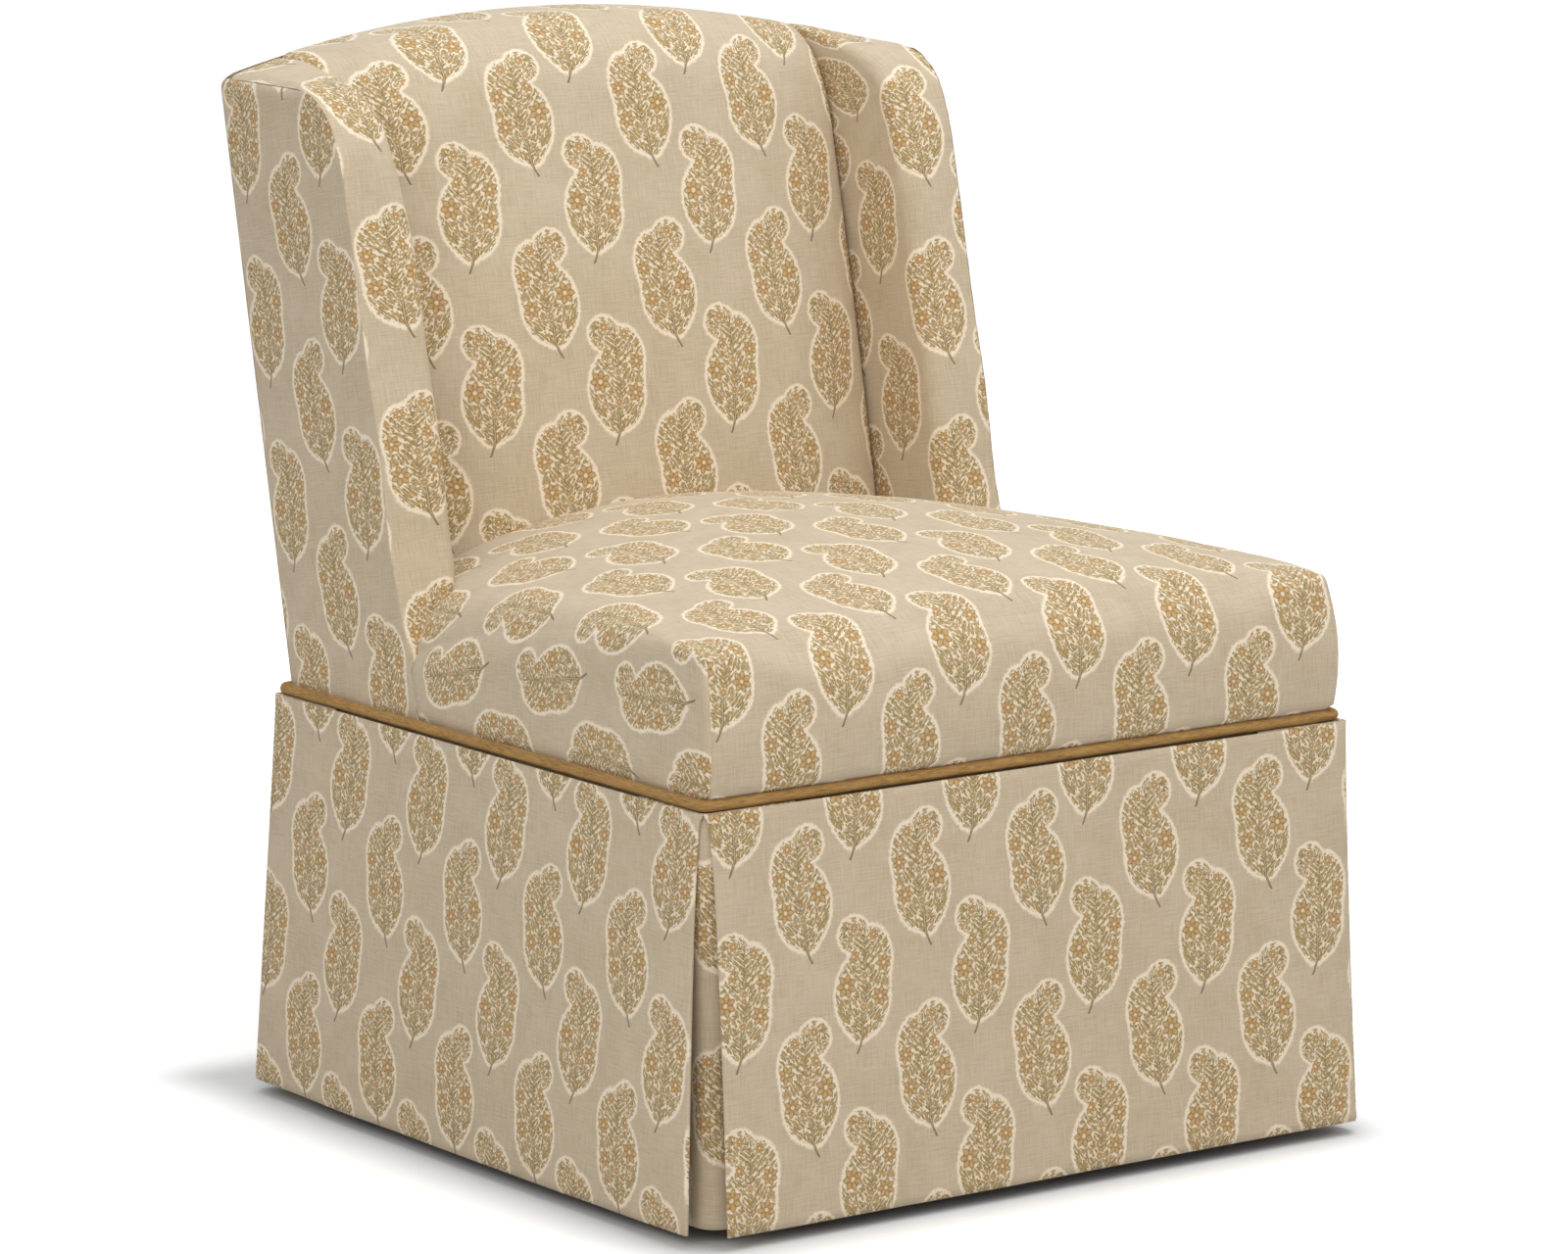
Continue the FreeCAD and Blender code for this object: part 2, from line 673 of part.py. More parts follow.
def make_front_rail():
    return box(-wood_x, wood_x, wood_front, wood_front + rail_thickness, rail_bottom, rail_top)


def make_rear_rail():
    return box(-post_inner_x, post_inner_x, wood_rear - rail_thickness, wood_rear, rail_bottom, rail_top)


def make_side_rail():
    return box(side_rail_x, wood_x, wood_front + rail_thickness, post_front_y, rail_bottom, rail_top)


def corner_block(rail_y, way):
    """Three-cornered block in the right half of a seat-frame corner, blunt at its tips."""
    far_y, near_y = rail_y + way * block_leg, rail_y + way * block_blunt
    points = [V(side_rail_x, rail_y, rail_bottom), V(side_rail_x, far_y, rail_bottom),
              V(side_rail_x - block_blunt, far_y, rail_bottom), V(side_rail_x - block_leg, near_y, rail_bottom),
              V(side_rail_x - block_leg, rail_y, rail_bottom)]
    return plain_face(points).extrude(V(0, 0, block_thickness))


def leg_axis():
    """Middle of the right front leg, on the floor, under its corner block."""
    reach = leg_top / 2 + leg_inset
    return V(side_rail_x - reach, wood_front + rail_thickness + reach, 0)


def rear_foot_axis():
    return V(wood_x - post_thickness / 2, wood_rear + rear_leg_splay - post_foot_depth / 2, 0)


def make_corner_blocks(bolt_hole):
    """Front block, bored for the hanger bolt, and rear block, notched round the back post."""
    front = corner_block(wood_front + rail_thickness, 1).cut(bolt_hole)
    post = box(post_inner_x, wood_x, post_front_y, wood_rear, 0, rail_top)
    return [front, corner_block(wood_rear - rail_thickness, -1).cut(post)]


def make_front_leg(bolt_hole):
    """Square leg under the corner of the frame, tapered to its foot."""
    axis, shoulder, foot, top = leg_axis(), rail_bottom - leg_head_height, leg_foot / 2, leg_top / 2
    taper = Part.makeWedge(-foot, glide_height, -foot, -top, -top, foot, shoulder, foot, top, top)
    taper.rotate(V(0, 0, 0), V(1, 0, 0), 90)
    taper.translate(axis)
    head = box(axis.x - top, axis.x + top, axis.y - top, axis.y + top, shoulder, rail_bottom)
    return taper.fuse(head).cut(bolt_hole)


def glide(axis):
    """Round glide under a foot."""
    return cylinder(glide_diameter / 2, axis, V(0, 0, 1), glide_height)


def hanger_bolt(grow):
    """Bolt of the right front leg, half in the leg and half through the corner block, or its hole."""
    top = rail_bottom + block_thickness + nut_height + bolt_stand
    start = leg_axis() + V(0, 0, top - bolt_length - grow)
    return cylinder(bolt_diameter / 2 + grow, start, V(0, 0, 1), bolt_length + grow)


def nut(bolt_hole):
    """Six-sided nut on the right corner block."""
    up, corner = V(0, 0, 1), V(nut_width / math.sqrt(3), 0, rail_bottom + block_thickness)
    points = [leg_axis() + FreeCAD.Rotation(up, 60 * i).multVec(corner) for i in range(6)]
    return plain_face(points).extrude(up * nut_height).cut(bolt_hole)


# Webbing and inner cloth

def make_long_straps():
    """Seat straps from the front rail to the rear rail."""
    first = -long_strap_pitch * (long_strap_count - 1) / 2
    straps = []
    for i in range(long_strap_count):
        x = first + i * long_strap_pitch
        straps.append(box(x - strap_width / 2, x + strap_width / 2, wood_front + strap_end_inset,
                          wood_rear - strap_end_inset, rail_top, rail_top + strap_thickness))
    return Part.makeCompound(straps)


def cross_strap_places():
    """Front edge of each cross strap: a row before the wing uprights, and one behind them."""
    upright_front = wing_front_y(rail_top, upright_inset)
    upright_back = wing_front_y(rail_top + strap_width, upright_inset + wing_upright_depth)
    first = wood_front + rail_thickness + strap_margin
    last = upright_front - strap_margin - strap_width
    row = [first + (last - first) * i / (front_strap_count - 1) for i in range(front_strap_count)]
    return row + [(upright_back + post_front_y - strap_width) / 2]


def make_cross_straps():
    """Seat straps from side to side, over the long ones."""
    end, low = wood_x - strap_end_inset, rail_top + strap_thickness
    return Part.makeCompound([box(-end, end, y, y + strap_width, low, webbing_top) for y in cross_strap_places()])


def make_back_straps():
    """Straps across the fronts of the back posts, behind the foam."""
    end = wood_x - strap_end_inset
    first = rail_top + post_bend_rise + strap_margin
    last = wood_top - wing_head_height - strap_margin - strap_width
    straps = []
    for i in range(back_strap_count):
        low = first + (last - first) * i / (back_strap_count - 1)
        straps.append(raked_slab(frame_depth, frame_depth + strap_thickness, low, low + strap_width, end))
    return Part.makeCompound(straps)


def make_deck_pad(neighbours):
    """Felted pad over the seat straps, under the foam."""
    pad = box(-wood_x, wood_x, wood_front, back_y - deck_pad_inset, deck_pad_bottom, deck_pad_bottom + deck_pad)
    return main_solid(pad, neighbours)


def make_dust_cover():
    """Thin cloth under the seat frame, cut round the legs."""
    x, slack = wood_x - dust_cover_inset, dust_cover_slack
    sheet = box(-x, x, wood_front + dust_cover_inset, wood_rear - dust_cover_inset,
                rail_bottom - dust_cover_thickness, rail_bottom)
    axis = leg_axis()
    leg = box(axis.x - leg_top / 2 - slack, wood_x, wood_front, axis.y + leg_top / 2 + slack, 0, rail_top)
    post = box(post_inner_x - slack, wood_x, post_front_y - slack, wood_rear, 0, rail_top)
    return main_solid(sheet, [leg, mirrored(leg), post, mirrored(post)])


def paired_nodes():
    """Pieces that come once on each side, as their right-hand shapes."""
    mortises = tenons(joint_clearance)
    bolt_hole = hanger_bolt(joint_clearance)
    return {
        "back_post": morticed(make_back_post(), mortises),
        "side_seat_rail": morticed(make_side_rail(), mortises),
        "wing_upright": morticed(make_wing_upright(), mortises),
        "wing_head_board": morticed(make_wing_head_board(), mortises),
        "wing_foam": make_wing_foam(),
        "wing_cover": make_wing_cover(),
        "outside_wing_cover": make_outside_wing_cover(),
        "front_leg": make_front_leg(bolt_hole),
    }


def single_nodes():
    """Pieces on the middle of the chair, and groups of like pieces."""
    mortises = tenons(joint_clearance)
    bolt_hole = hanger_bolt(joint_clearance)
    neighbours = seat_neighbours()
    return {
        "seat_cover": make_seat_cover(neighbours),
        "seat_foam": make_seat_foam(neighbours),
        "seat_deck_pad": make_deck_pad(neighbours),
        "seat_long_straps": make_long_straps(),
        "seat_cross_straps": make_cross_straps(),
        "inside_back_cover": make_inside_back_cover(),
        "back_foam": make_back_foam(),
        "back_straps": make_back_straps(),
        "outside_back_cover": make_outside_back_cover(),
        "outside_back_wadding": make_outside_back_wadding(),
        "welt_cord": make_welt(),
        "skirt_tack_strips": make_tack_strips(),
        "dust_cover": make_dust_cover(),
        "top_rail": morticed(make_top_rail(), mortises),
        "back_stay_rail": morticed(make_stay_rail(), mortises),
        "front_seat_rail": morticed(make_front_rail(), mortises),
        "rear_seat_rail": morticed(make_rear_rail(), mortises),
        "frame_tenons": both_sides(tenons(0.0)),
        "corner_blocks": both_sides(make_corner_blocks(bolt_hole)),
        "leg_hanger_bolts": both_sides([hanger_bolt(0.0)]),
        "leg_bolt_nuts": both_sides([nut(bolt_hole)]),
        "floor_glides": both_sides([glide(leg_axis()), glide(rear_foot_axis())]),
    }


def skirt_nodes():
    nodes = {"skirt_" + side + "_panel": make_panel(side) for side in ("front", "rear", "left", "right")}
    for name, side in (("left", -1), ("right", 1)):
        nodes["skirt_front_" + name + "_pleat"] = make_pleat(side, True)
        nodes["skirt_rear_" + name + "_pleat"] = make_pleat(side, False)
    return nodes


def main():
    os.makedirs("parts", exist_ok=True)
    nodes = {**single_nodes(), **skirt_nodes()}
    for name, shape in paired_nodes().items():
        nodes["right_" + name] = shape
        nodes["left_" + name] = mirrored(shape)
    for name, shape in sorted(nodes.items()):
        shape.exportStep("parts/" + name + ".step")
        print(name, len(shape.Solids), "solids,", round(shape.Volume / 1000, 1), "cm3")


main()
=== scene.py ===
"""Skirted slipper chair with shallow wings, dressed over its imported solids.

Points are worked out in millimetres, in the frame of the solids: X across, +Y to the back, +Z up.
"""
import json
import math

import bmesh
import bpy
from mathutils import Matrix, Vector, noise


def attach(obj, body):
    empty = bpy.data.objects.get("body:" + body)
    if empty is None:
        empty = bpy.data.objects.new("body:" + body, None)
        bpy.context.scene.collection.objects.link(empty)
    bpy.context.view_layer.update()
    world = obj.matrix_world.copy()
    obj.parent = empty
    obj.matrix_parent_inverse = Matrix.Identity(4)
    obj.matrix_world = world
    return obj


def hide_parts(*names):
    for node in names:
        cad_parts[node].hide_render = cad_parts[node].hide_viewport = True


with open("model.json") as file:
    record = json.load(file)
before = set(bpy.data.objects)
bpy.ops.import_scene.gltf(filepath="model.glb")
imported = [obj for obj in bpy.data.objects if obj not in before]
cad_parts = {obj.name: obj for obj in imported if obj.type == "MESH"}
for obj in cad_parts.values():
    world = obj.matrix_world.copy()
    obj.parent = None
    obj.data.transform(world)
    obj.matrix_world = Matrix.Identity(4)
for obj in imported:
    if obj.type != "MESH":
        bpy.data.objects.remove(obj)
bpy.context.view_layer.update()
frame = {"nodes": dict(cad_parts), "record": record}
MM = 0.001

# Body
HALF = 319.5              # half the upholstered width
FRONT, BACK = -348.905, 261.095   # front face and outside back, at the welt
WELT_Z = 360.0
WELT_LOW = 356.0          # covers end here, behind the cord
RAKE_ANGLE = math.radians(11.4)
RAKE, RAKE_COS = math.tan(RAKE_ANGLE), math.cos(RAKE_ANGLE)
WING_X = 262.0            # inner face of a wing
WING_TOP = 878.0
CROWN_TOP = 917.0
CROWN_SPAN = 312.0        # half the span of the arc over the back
TOP_CORNER = 12.0         # radius of the back's top corners

# Inside back: distances in front of the outside back
BACK_SIDE, BACK_MIDDLE = 87.0, 122.0
BOW_SIDE, BOW_MIDDLE = 2.0, 8.0
BACK_FOOT = 402.0
HEAD_DEPTH_SIDE, HEAD_HEIGHT_SIDE = 58.0, 94.0
HEAD_DEPTH_MIDDLE, HEAD_HEIGHT_MIDDLE = 60.0, 74.0
END_ROUND = 13.0          # where the cover turns into the gap beside a wing
END_TUCK = 20.0
REAR_ROUND = 7.0

# Seat: its top as (depth, height in the middle, even fall to the sides, further fall near them)
SEAT_LINES = [(42.0, 498.0, 16.0, 0.0), (275.0, 523.0, 39.0, 16.0), (550.0, 503.0, 75.0, 50.0)]
SEAT_BACK_TUCK = 7.0
SEAT_GAP = 2.0            # between the seat's end and the wing's front line
BULGE_FRONT = 9.0, 6.5    # of the front face: at the welt, and added half way up
BULGE_SIDE = 3.0, 2.8
FRONT_ROUND, SIDE_ROUND, CORNER_ROUND = 42.0, 34.0, 6.0
CORNER_FROM = 215.0       # distance from the middle where the front's round begins to tighten
PINCH, PINCH_REACH = 4.5, 14.0   # dip of the seat where it meets the back and the wings
DART_DEPTH, DART_WIDTH, DART_TOP = 2.0, 3.0, 484.0

# Front line of a wing and its head, as (depth behind the front face, height)
WING_LINE = [(411, 345), (413.5, 356), (415.5, 366), (423, 400), (436, 440), (446, 474), (455, 505),
             (463, 550), (472, 596), (484.5, 644), (496, 695), (504.5, 735), (513, 772), (519.5, 800),
             (527, 824), (537.5, 846), (551, 860), (568, 870), (588, 876), (612, 878.2), (645, 878.6),
             (690, 878.3), (703, 877), (710, 872.5), (713.5, 864)]
BAND_ROUND = 15.0
HEAD_ROUND = 17.0
HEAD_FROM = 560.0         # depth at which a wing's front line has turned over into its head
BAND_PUFF = 11.0          # of the left wing's padding towards the seat
SEAM_ROUND = 2.4

# Skirt
SKIRT_TOP, HEM = 354.9, 12.0
STAND_TOP, STAND_FRONT, STAND_SIDE, STAND_REAR = 11.5, 21.0, 18.0, 45.0
PLEAT_TOP = 2.8
PLEAT_HEM = {("front", -1): 25.0, ("front", 1): 6.0, ("rear", -1): 6.0, ("rear", 1): 6.0}   # by corner
PLEAT_POWER = 0.45
FOLD_ROUND = 1.3
FOLD_RETURN = 56.0
CLOTH = 1.5
UNDERLAY_LEG = 88.0
UNDERLAY_ROUND = 17.0
UNDERLAY_BEHIND, UNDERLAY_DEEP = 4.6, 20.0   # at the welt, and at the hem
FLARE_TOP, FLARE_HEM, FLARE_REACH = 2.5, 7.0, 130.0   # of the skirt's right front corner
FLARE_WAY = Vector((0.68, -0.77, 0))
FLAT_AT = 0.55            # share of the drop at which the panels' flat widths are taken

WELT_RADIUS, WELT_TURN = 4.75, 5.6
WELT_JOINT = 40.0         # place of the joint along the left side, from the front face

# Print: repeat of the pattern, and where a motif's middle falls on each piece
COLUMN, REPEAT = 118.0, 158.0
PRINT_AT = {
    "seat_upholstery": (-9.8, 44.0),
    "inside_back_upholstery": (31.0, 294.0),
    "left_wing_upholstery": (32.0, 81.0),
    "right_wing_upholstery": (-40.6, 11.3),
    "left_outside_wing": (-79.5, 13.2),
    "right_outside_wing": (79.5, 13.2),
    "outside_back": (0.0, 20.0),
    "skirt_front": (-124.1, -229.2),
    "skirt_left": (226.8, -126.9),
    "skirt_right": (-226.8, -126.9),
    "skirt_rear": (0.0, -229.2),
    "underlay_front_left": (10.0, -240.0),
}
PRINT_LEAN = math.radians(12.5)   # of the pattern on the outer sides of the wings
BACK_STRETCH = 1.05               # of the cloth across the inside back
SEAT_STRETCH, STRETCH_FROM = 1.10, 100.0   # of the cloth over the seat's top, past this far up its front


# Small helpers

def smooth(t):
    t = min(1.0, max(0.0, t))
    return t * t * (3 - 2 * t)


def lerp(a, b, t):
    return a + (b - a) * t


def rear_y(z, forward=0.0):
    return BACK + (z - WELT_Z) * RAKE - forward / RAKE_COS


def crown_z(x):
    """Height of the top of the back: an arc that dies into the wings' tops."""
    rise = CROWN_TOP - WING_TOP
    radius = (CROWN_SPAN ** 2 + rise ** 2) / (2 * rise)
    x = min(abs(x), CROWN_SPAN)
    return CROWN_TOP - radius + math.sqrt(radius ** 2 - x ** 2)


def spread(start, end, count):
    return [lerp(start, end, i / count) for i in range(count + 1)]


def lengths_along(points):
    """Length of a path up to each of its points."""
    out = [0.0]
    for a, b in zip(points, points[1:]):
        out.append(out[-1] + (Vector(b) - Vector(a)).length)
    return out


def from_middle(points):
    """Length along a row from its middle point, negative before it. None ends the row."""
    out = [0.0] * len(points)
    for way in (1, -1):
        i = len(points) // 2
        while 0 <= i + way < len(points) and points[i + way] is not None:
            out[i + way] = out[i] + way * (points[i + way] - points[i]).length
            i += way
    return out


def even(points, count):
    """The same open path as count + 1 evenly spaced points."""
    lengths = lengths_along(points)
    out, k = [], 0
    for i in range(count + 1):
        want = lengths[-1] * i / count
        while k < len(points) - 2 and lengths[k + 1] < want:
            k += 1
        t = (want - lengths[k]) / max(1e-9, lengths[k + 1] - lengths[k])
        out.append(Vector(points[k]).lerp(Vector(points[k + 1]), t))
    return out


def through(points, steps=8):
    """Smooth path through points, as a Catmull-Rom curve."""
    pts = [Vector(p) for p in points]
    pts = [2 * pts[0] - pts[1]] + pts + [2 * pts[-1] - pts[-2]]
    out = []
    for i in range(1, len(pts) - 2):
        a, b, c, d = pts[i - 1:i + 3]
        for s in range(steps):
            t = s / steps
            out.append(0.5 * (2 * b + (c - a) * t + (2 * a - 5 * b + 4 * c - d) * t * t
                              + (3 * b - a - 3 * c + d) * t ** 3))
    return out + [pts[-2]]


def waves(p, size, seed=0.0):
    return noise.noise(Vector((p[0] / size, p[1] / size, p[2] / size + seed)))


def piece(name, patches, weld=0.02):
    """One mesh from grids of (point, (u, v)) cells, joined where they meet. None is a missing cell."""
    mesh = bpy.data.meshes.new(name)
    bm = bmesh.new()
    cloth = bm.loops.layers.uv.new("cloth")
    u0, v0 = PRINT_AT.get(name, (0.0, 0.0))
    for rows in patches:
        verts = [[bm.verts.new(Vector(c[0]) * MM) if c else None for c in row] for row in rows]
        for j in range(len(rows) - 1):
            for i in range(len(rows[0]) - 1):
                corners = [(j, i), (j, i + 1), (j + 1, i + 1), (j + 1, i)]
                if any(verts[a][b] is None for a, b in corners):
                    continue
                face = bm.faces.new([verts[a][b] for a, b in corners])
                face.smooth = True
                for loop, (a, b) in zip(face.loops, corners):
                    u, v = rows[a][b][1]
                    loop[cloth].uv = ((u - u0) * MM, (v - v0) * MM)
    bmesh.ops.remove_doubles(bm, verts=bm.verts, dist=weld * MM)
    loose = [v for v in bm.verts if not v.link_faces]
    bmesh.ops.delete(bm, geom=loose, context="VERTS")
    bmesh.ops.recalc_face_normals(bm, faces=bm.faces)
    bm.to_mesh(mesh)
    bm.free()
    made = bpy.data.objects.new(name, mesh)
    bpy.context.scene.collection.objects.link(made)
    return made


def outward(made, centre):
    """Turns a mesh's faces away from a point inside the chair, in millimetres."""
    bm = bmesh.new()
    bm.from_mesh(made.data)
    centre = Vector(centre) * MM
    lean = sum(f.normal.dot(f.calc_center_median() - centre) * f.calc_area() for f in bm.faces)
    if lean < 0:
        bmesh.ops.reverse_faces(bm, faces=bm.faces)
    bm.to_mesh(made.data)
    bm.free()
    return made


def flip_x(rows):
    return [[((-c[0][0], c[0][1], c[0][2]), c[1]) if c else None for c in row] for row in rows]


# Shapes

def seat_top(x, deep):
    """Height of the seat's crown before its edges are rounded; deep is measured from the front face."""
    s = min(1.0, abs(x) / HALF)
    d = max(deep, 0.0)
    (a, front), (b, middle), (c, rear) = [(line, top - even_fall * s * s - edge_fall * s ** 6)
                                          for line, top, even_fall, edge_fall in SEAT_LINES]
    return (front * (d - b) * (d - c) / ((a - b) * (a - c)) + middle * (d - a) * (d - c) / ((b - a) * (b - c))
            + rear * (d - a) * (d - b) / ((c - a) * (c - b)))


def seat_point(x, deep, z, top):
    """A point of the boxed seat with its edges rounded: tight at the darted corners, wide elsewhere."""
    near_corner = smooth((abs(x) - CORNER_FROM) / (HALF - CORNER_FROM))
    round_y = lerp(FRONT_ROUND, CORNER_ROUND, near_corner ** 0.8)
    round_x = lerp(CORNER_ROUND, SIDE_ROUND, smooth(deep / 260.0))
    px = max(0.0, abs(x) - (HALF - round_x)) / round_x
    py = max(0.0, round_y - deep) / round_y
    round_z = (px * round_x * 1.1 + py * round_y) / max(1e-6, px + py) if px + py > 0 else 30.0
    pz = max(0.0, z - (top - round_z)) / round_z
    length = math.sqrt(px * px + py * py + pz * pz)
    if sum(1 for p in (px, py, pz) if p > 1e-6) > 1:
        px, py, pz = px / length, py / length, pz / length
    sx = abs(x) if px == 0 else HALF - round_x + px * round_x
    sy = deep if py == 0 else round_y - py * round_y
    sz = z if pz == 0 else top - round_z + pz * round_z
    return Vector((math.copysign(sx, x), FRONT + sy, sz))


def puffed(p):
    """A point of the seat moved out with its padding, which swells between the welt and the top's edge."""
    deep = max(0.0, p.y - FRONT)
    share = min(1.0, max(0.0, (p.z - WELT_Z) / (seat_top(p.x, deep) - WELT_Z)))
    low, more, tuck = 1 - share * share, math.sin(math.pi * share), smooth((p.z - WELT_Z - 1) / 9.0)
    front = (BULGE_FRONT[0] * low + BULGE_FRONT[1] * more) * tuck * (1 - smooth(deep / 60.0))
    side = (BULGE_SIDE[0] * low + BULGE_SIDE[1] * more) * tuck * (1 - smooth((HALF - abs(p.x)) / 40.0))
    return p + Vector((math.copysign(side * lerp(1.0, 0.45, smooth(deep / 300.0)), p.x), -front, 0))


def wing_deep(z):
    """Front line of the wings at a height, behind the front face."""
    for (y0, z0), (y1, z1) in zip(WING_LINE, WING_LINE[1:]):
        if z0 <= z <= z1:
            return lerp(y0, y1, (z - z0) / (z1 - z0))
    return WING_LINE[0][0]


def back_depth(x, z):
    """Distance of the inside back's face in front of the outside back."""
    swell = 1 - (min(1.0, abs(x) / WING_X)) ** 2.5
    low, high = 420.0, crown_z(x) - 90.0
    t = min(1.0, max(0.0, (z - low) / (high - low)))
    bow = lerp(BOW_SIDE, BOW_MIDDLE, swell)
    return lerp(BACK_SIDE, BACK_MIDDLE, swell) - bow + bow * 4 * t * (1 - t)


def seat_dart(p):
    """Distance of a point from the dart seam at its front corner, and the way in from it."""
    corner = Vector((math.copysign(HALF - CORNER_ROUND * 0.29, p.x), FRONT + CORNER_ROUND * 0.29, p.z))
    return (p - corner).length, Vector((-math.copysign(0.7, p.x), 0.7, 0))


def make_seat():
    edges = (1, 2.5, 4.5, 7, 10, 14, 19, 25, 32)
    xs = [round(HALF * math.sin(math.radians(a)), 3) for a in spread(-90, 90, 84)]
    xs = sorted(set(xs + [side * (HALF - d) for side in (-1, 1) for d in edges] + [-WING_X, WING_X]))
    inner = [i for i, x in enumerate(xs) if abs(x) <= WING_X + 0.01]
    deeps = [0, 0.7, 1.6, 3, 5, 7.5, 10.5, 14, 18, 22.5, 27.5, 33, 39, 46] + spread(56, 396, 34)
    shares = [0.25, 0.5, 0.7, 0.84, 0.93, 0.98, 1.0]

    def top_point(x, deep):
        return seat_point(x, deep, seat_top(x, deep), seat_top(x, deep))

    def limit(x):
        deep = 425.0
        for _ in range(3):
            deep = wing_deep(top_point(x, deep).z) + SEAT_GAP
        return deep

    def back_limit(x):
        deep = 520.0
        for _ in range(3):
            z = top_point(x, deep).z
            deep = rear_y(z, back_depth(x, z)) - FRONT + SEAT_BACK_TUCK
        return deep

    def crease(p, left):
        return p - Vector((0, 0, PINCH * (1 - smooth(left / PINCH_REACH))))

    edge = limit(WING_X)
    limits = [lerp(edge, limit(x), smooth((abs(x) - WING_X + 30) / 30)) if abs(x) < WING_X else limit(x)
              for x in xs]
    rows = [[top_point(x, deep) for x in xs] for deep in deeps]
    for share in shares:
        row = []
        for x, far in zip(xs, limits):
            deep = lerp(deeps[-1], far, share)
            p = top_point(x, deep)
            row.append(crease(p, far - deep) if abs(x) > WING_X + 1 else p)
        rows.append(row)
    side_rows = len(rows)
    for share in [0.2, 0.4, 0.6, 0.75, 0.86, 0.94, 1.0]:
        row = [None] * len(xs)
        for i in inner:
            end = back_limit(xs[i])
            deep = lerp(limits[i], end, share)
            row[i] = crease(top_point(xs[i], deep), end - deep)
        rows.append(row)
    front = []
    for t in spread(0, 1, 26)[:-1]:
        t = 1 - (1 - t) ** 1.5
        front.append([seat_point(x, 0.0, lerp(WELT_LOW, seat_top(x, 0), t), seat_top(x, 0)) for x in xs])
    cells = front + rows
    # cloth: across from the middle column; along it for the top, and down each column for the front
    us = [from_middle(row) for row in cells]
    vs = [[0.0] * len(xs) for _ in cells]
    centre = len(xs) // 2
    for j in range(1, len(cells)):
        step = (cells[j][centre] - cells[j - 1][centre]).length
        step *= SEAT_STRETCH if vs[j - 1][centre] > STRETCH_FROM else 1.0
        vs[j] = [vs[j - 1][centre] + step] * len(xs)
    for i in range(len(xs)):
        for j in reversed(range(len(front))):
            vs[j][i] = vs[j + 1][i] - (cells[j + 1][i] - cells[j][i]).length
    main = [[(p, (us[j][i], vs[j][i])) if p is not None else None for i, p in enumerate(row)]
            for j, row in enumerate(cells)]
    # sides: from the top's edge down to the welt, behind the dart
    patches = [main]
    for side, column in ((-1, 0), (1, len(xs) - 1)):
        grid = []
        for k in range(side_rows):
            start, u, v = rows[k][column], us[len(front) + k][column], vs[len(front) + k][column]
            row, last = [], start
            for t in spread(0, 1, 22):
                t = t ** 1.2
                if k < len(deeps):
                    deep = deeps[k]
                else:
                    far = wing_deep(lerp(start.z, WELT_LOW, t)) + SEAT_GAP
                    deep = lerp(deeps[-1], far, shares[k - len(deeps)])
                top = seat_top(side * HALF, deep)
                p = start
                if t > 0:
                    p = seat_point(side * HALF, deep, lerp(top, WELT_LOW, t), top)
                    far = wing_deep(p.z) + SEAT_GAP
                    p = p - Vector((side * 3.0 * (1 - smooth((far - deep) / 12.0)), 0, 0))
                u += side * (p - last).length
                last = p
                row.append((p, (u, v)))
            grid.append(row)
        # the top runs over into the side without a crease
        for k, row in enumerate(grid):
            line = main[len(front) + k]
            path = [line[column - side * n][0] for n in range(8, 0, -1)] + [c[0] for c in row[:9]]
            share = smooth(((deeps[k] if k < len(deeps) else 400.0) - 12) / 40.0)
            eased = list(path)
            for _ in range(8):
                eased = [eased[0]] + [eased[i] * 0.5 + (eased[i - 1] + eased[i + 1]) * 0.25
                                      for i in range(1, len(path) - 1)] + [eased[-1]]
            path = [a.lerp(b, share) for a, b in zip(path, eased)]
            for n in range(9):
                line[column - side * n] = (path[8 - n], line[column - side * n][1])
                row[n] = (path[8 + n], row[n][1])
        patches.append(grid)

    def finished(p):
        amount = smooth((p.y - FRONT + 10) / 90.0)
        lift = 1.1 * waves(p, 95.0, 3.1) + 0.5 * waves(p, 38.0, 7.7)
        way = Vector((0.15 * math.copysign(1, p.x), -0.2 * (1 - amount), 1)).normalized()
        if p.z > 420:
            p = p + way * lift
        near, inward = seat_dart(p)
        if p.z < DART_TOP and near < DART_WIDTH * 2.5:
            p = p + inward * DART_DEPTH * math.exp(-(near / DART_WIDTH) ** 2)
        return puffed(p)

    made = [[[(finished(c[0]), c[1]) if c else None for c in row] for row in grid] for grid in patches]
    return outward(piece("seat_upholstery", made, weld=0.05), (0, FRONT + 250, 380))


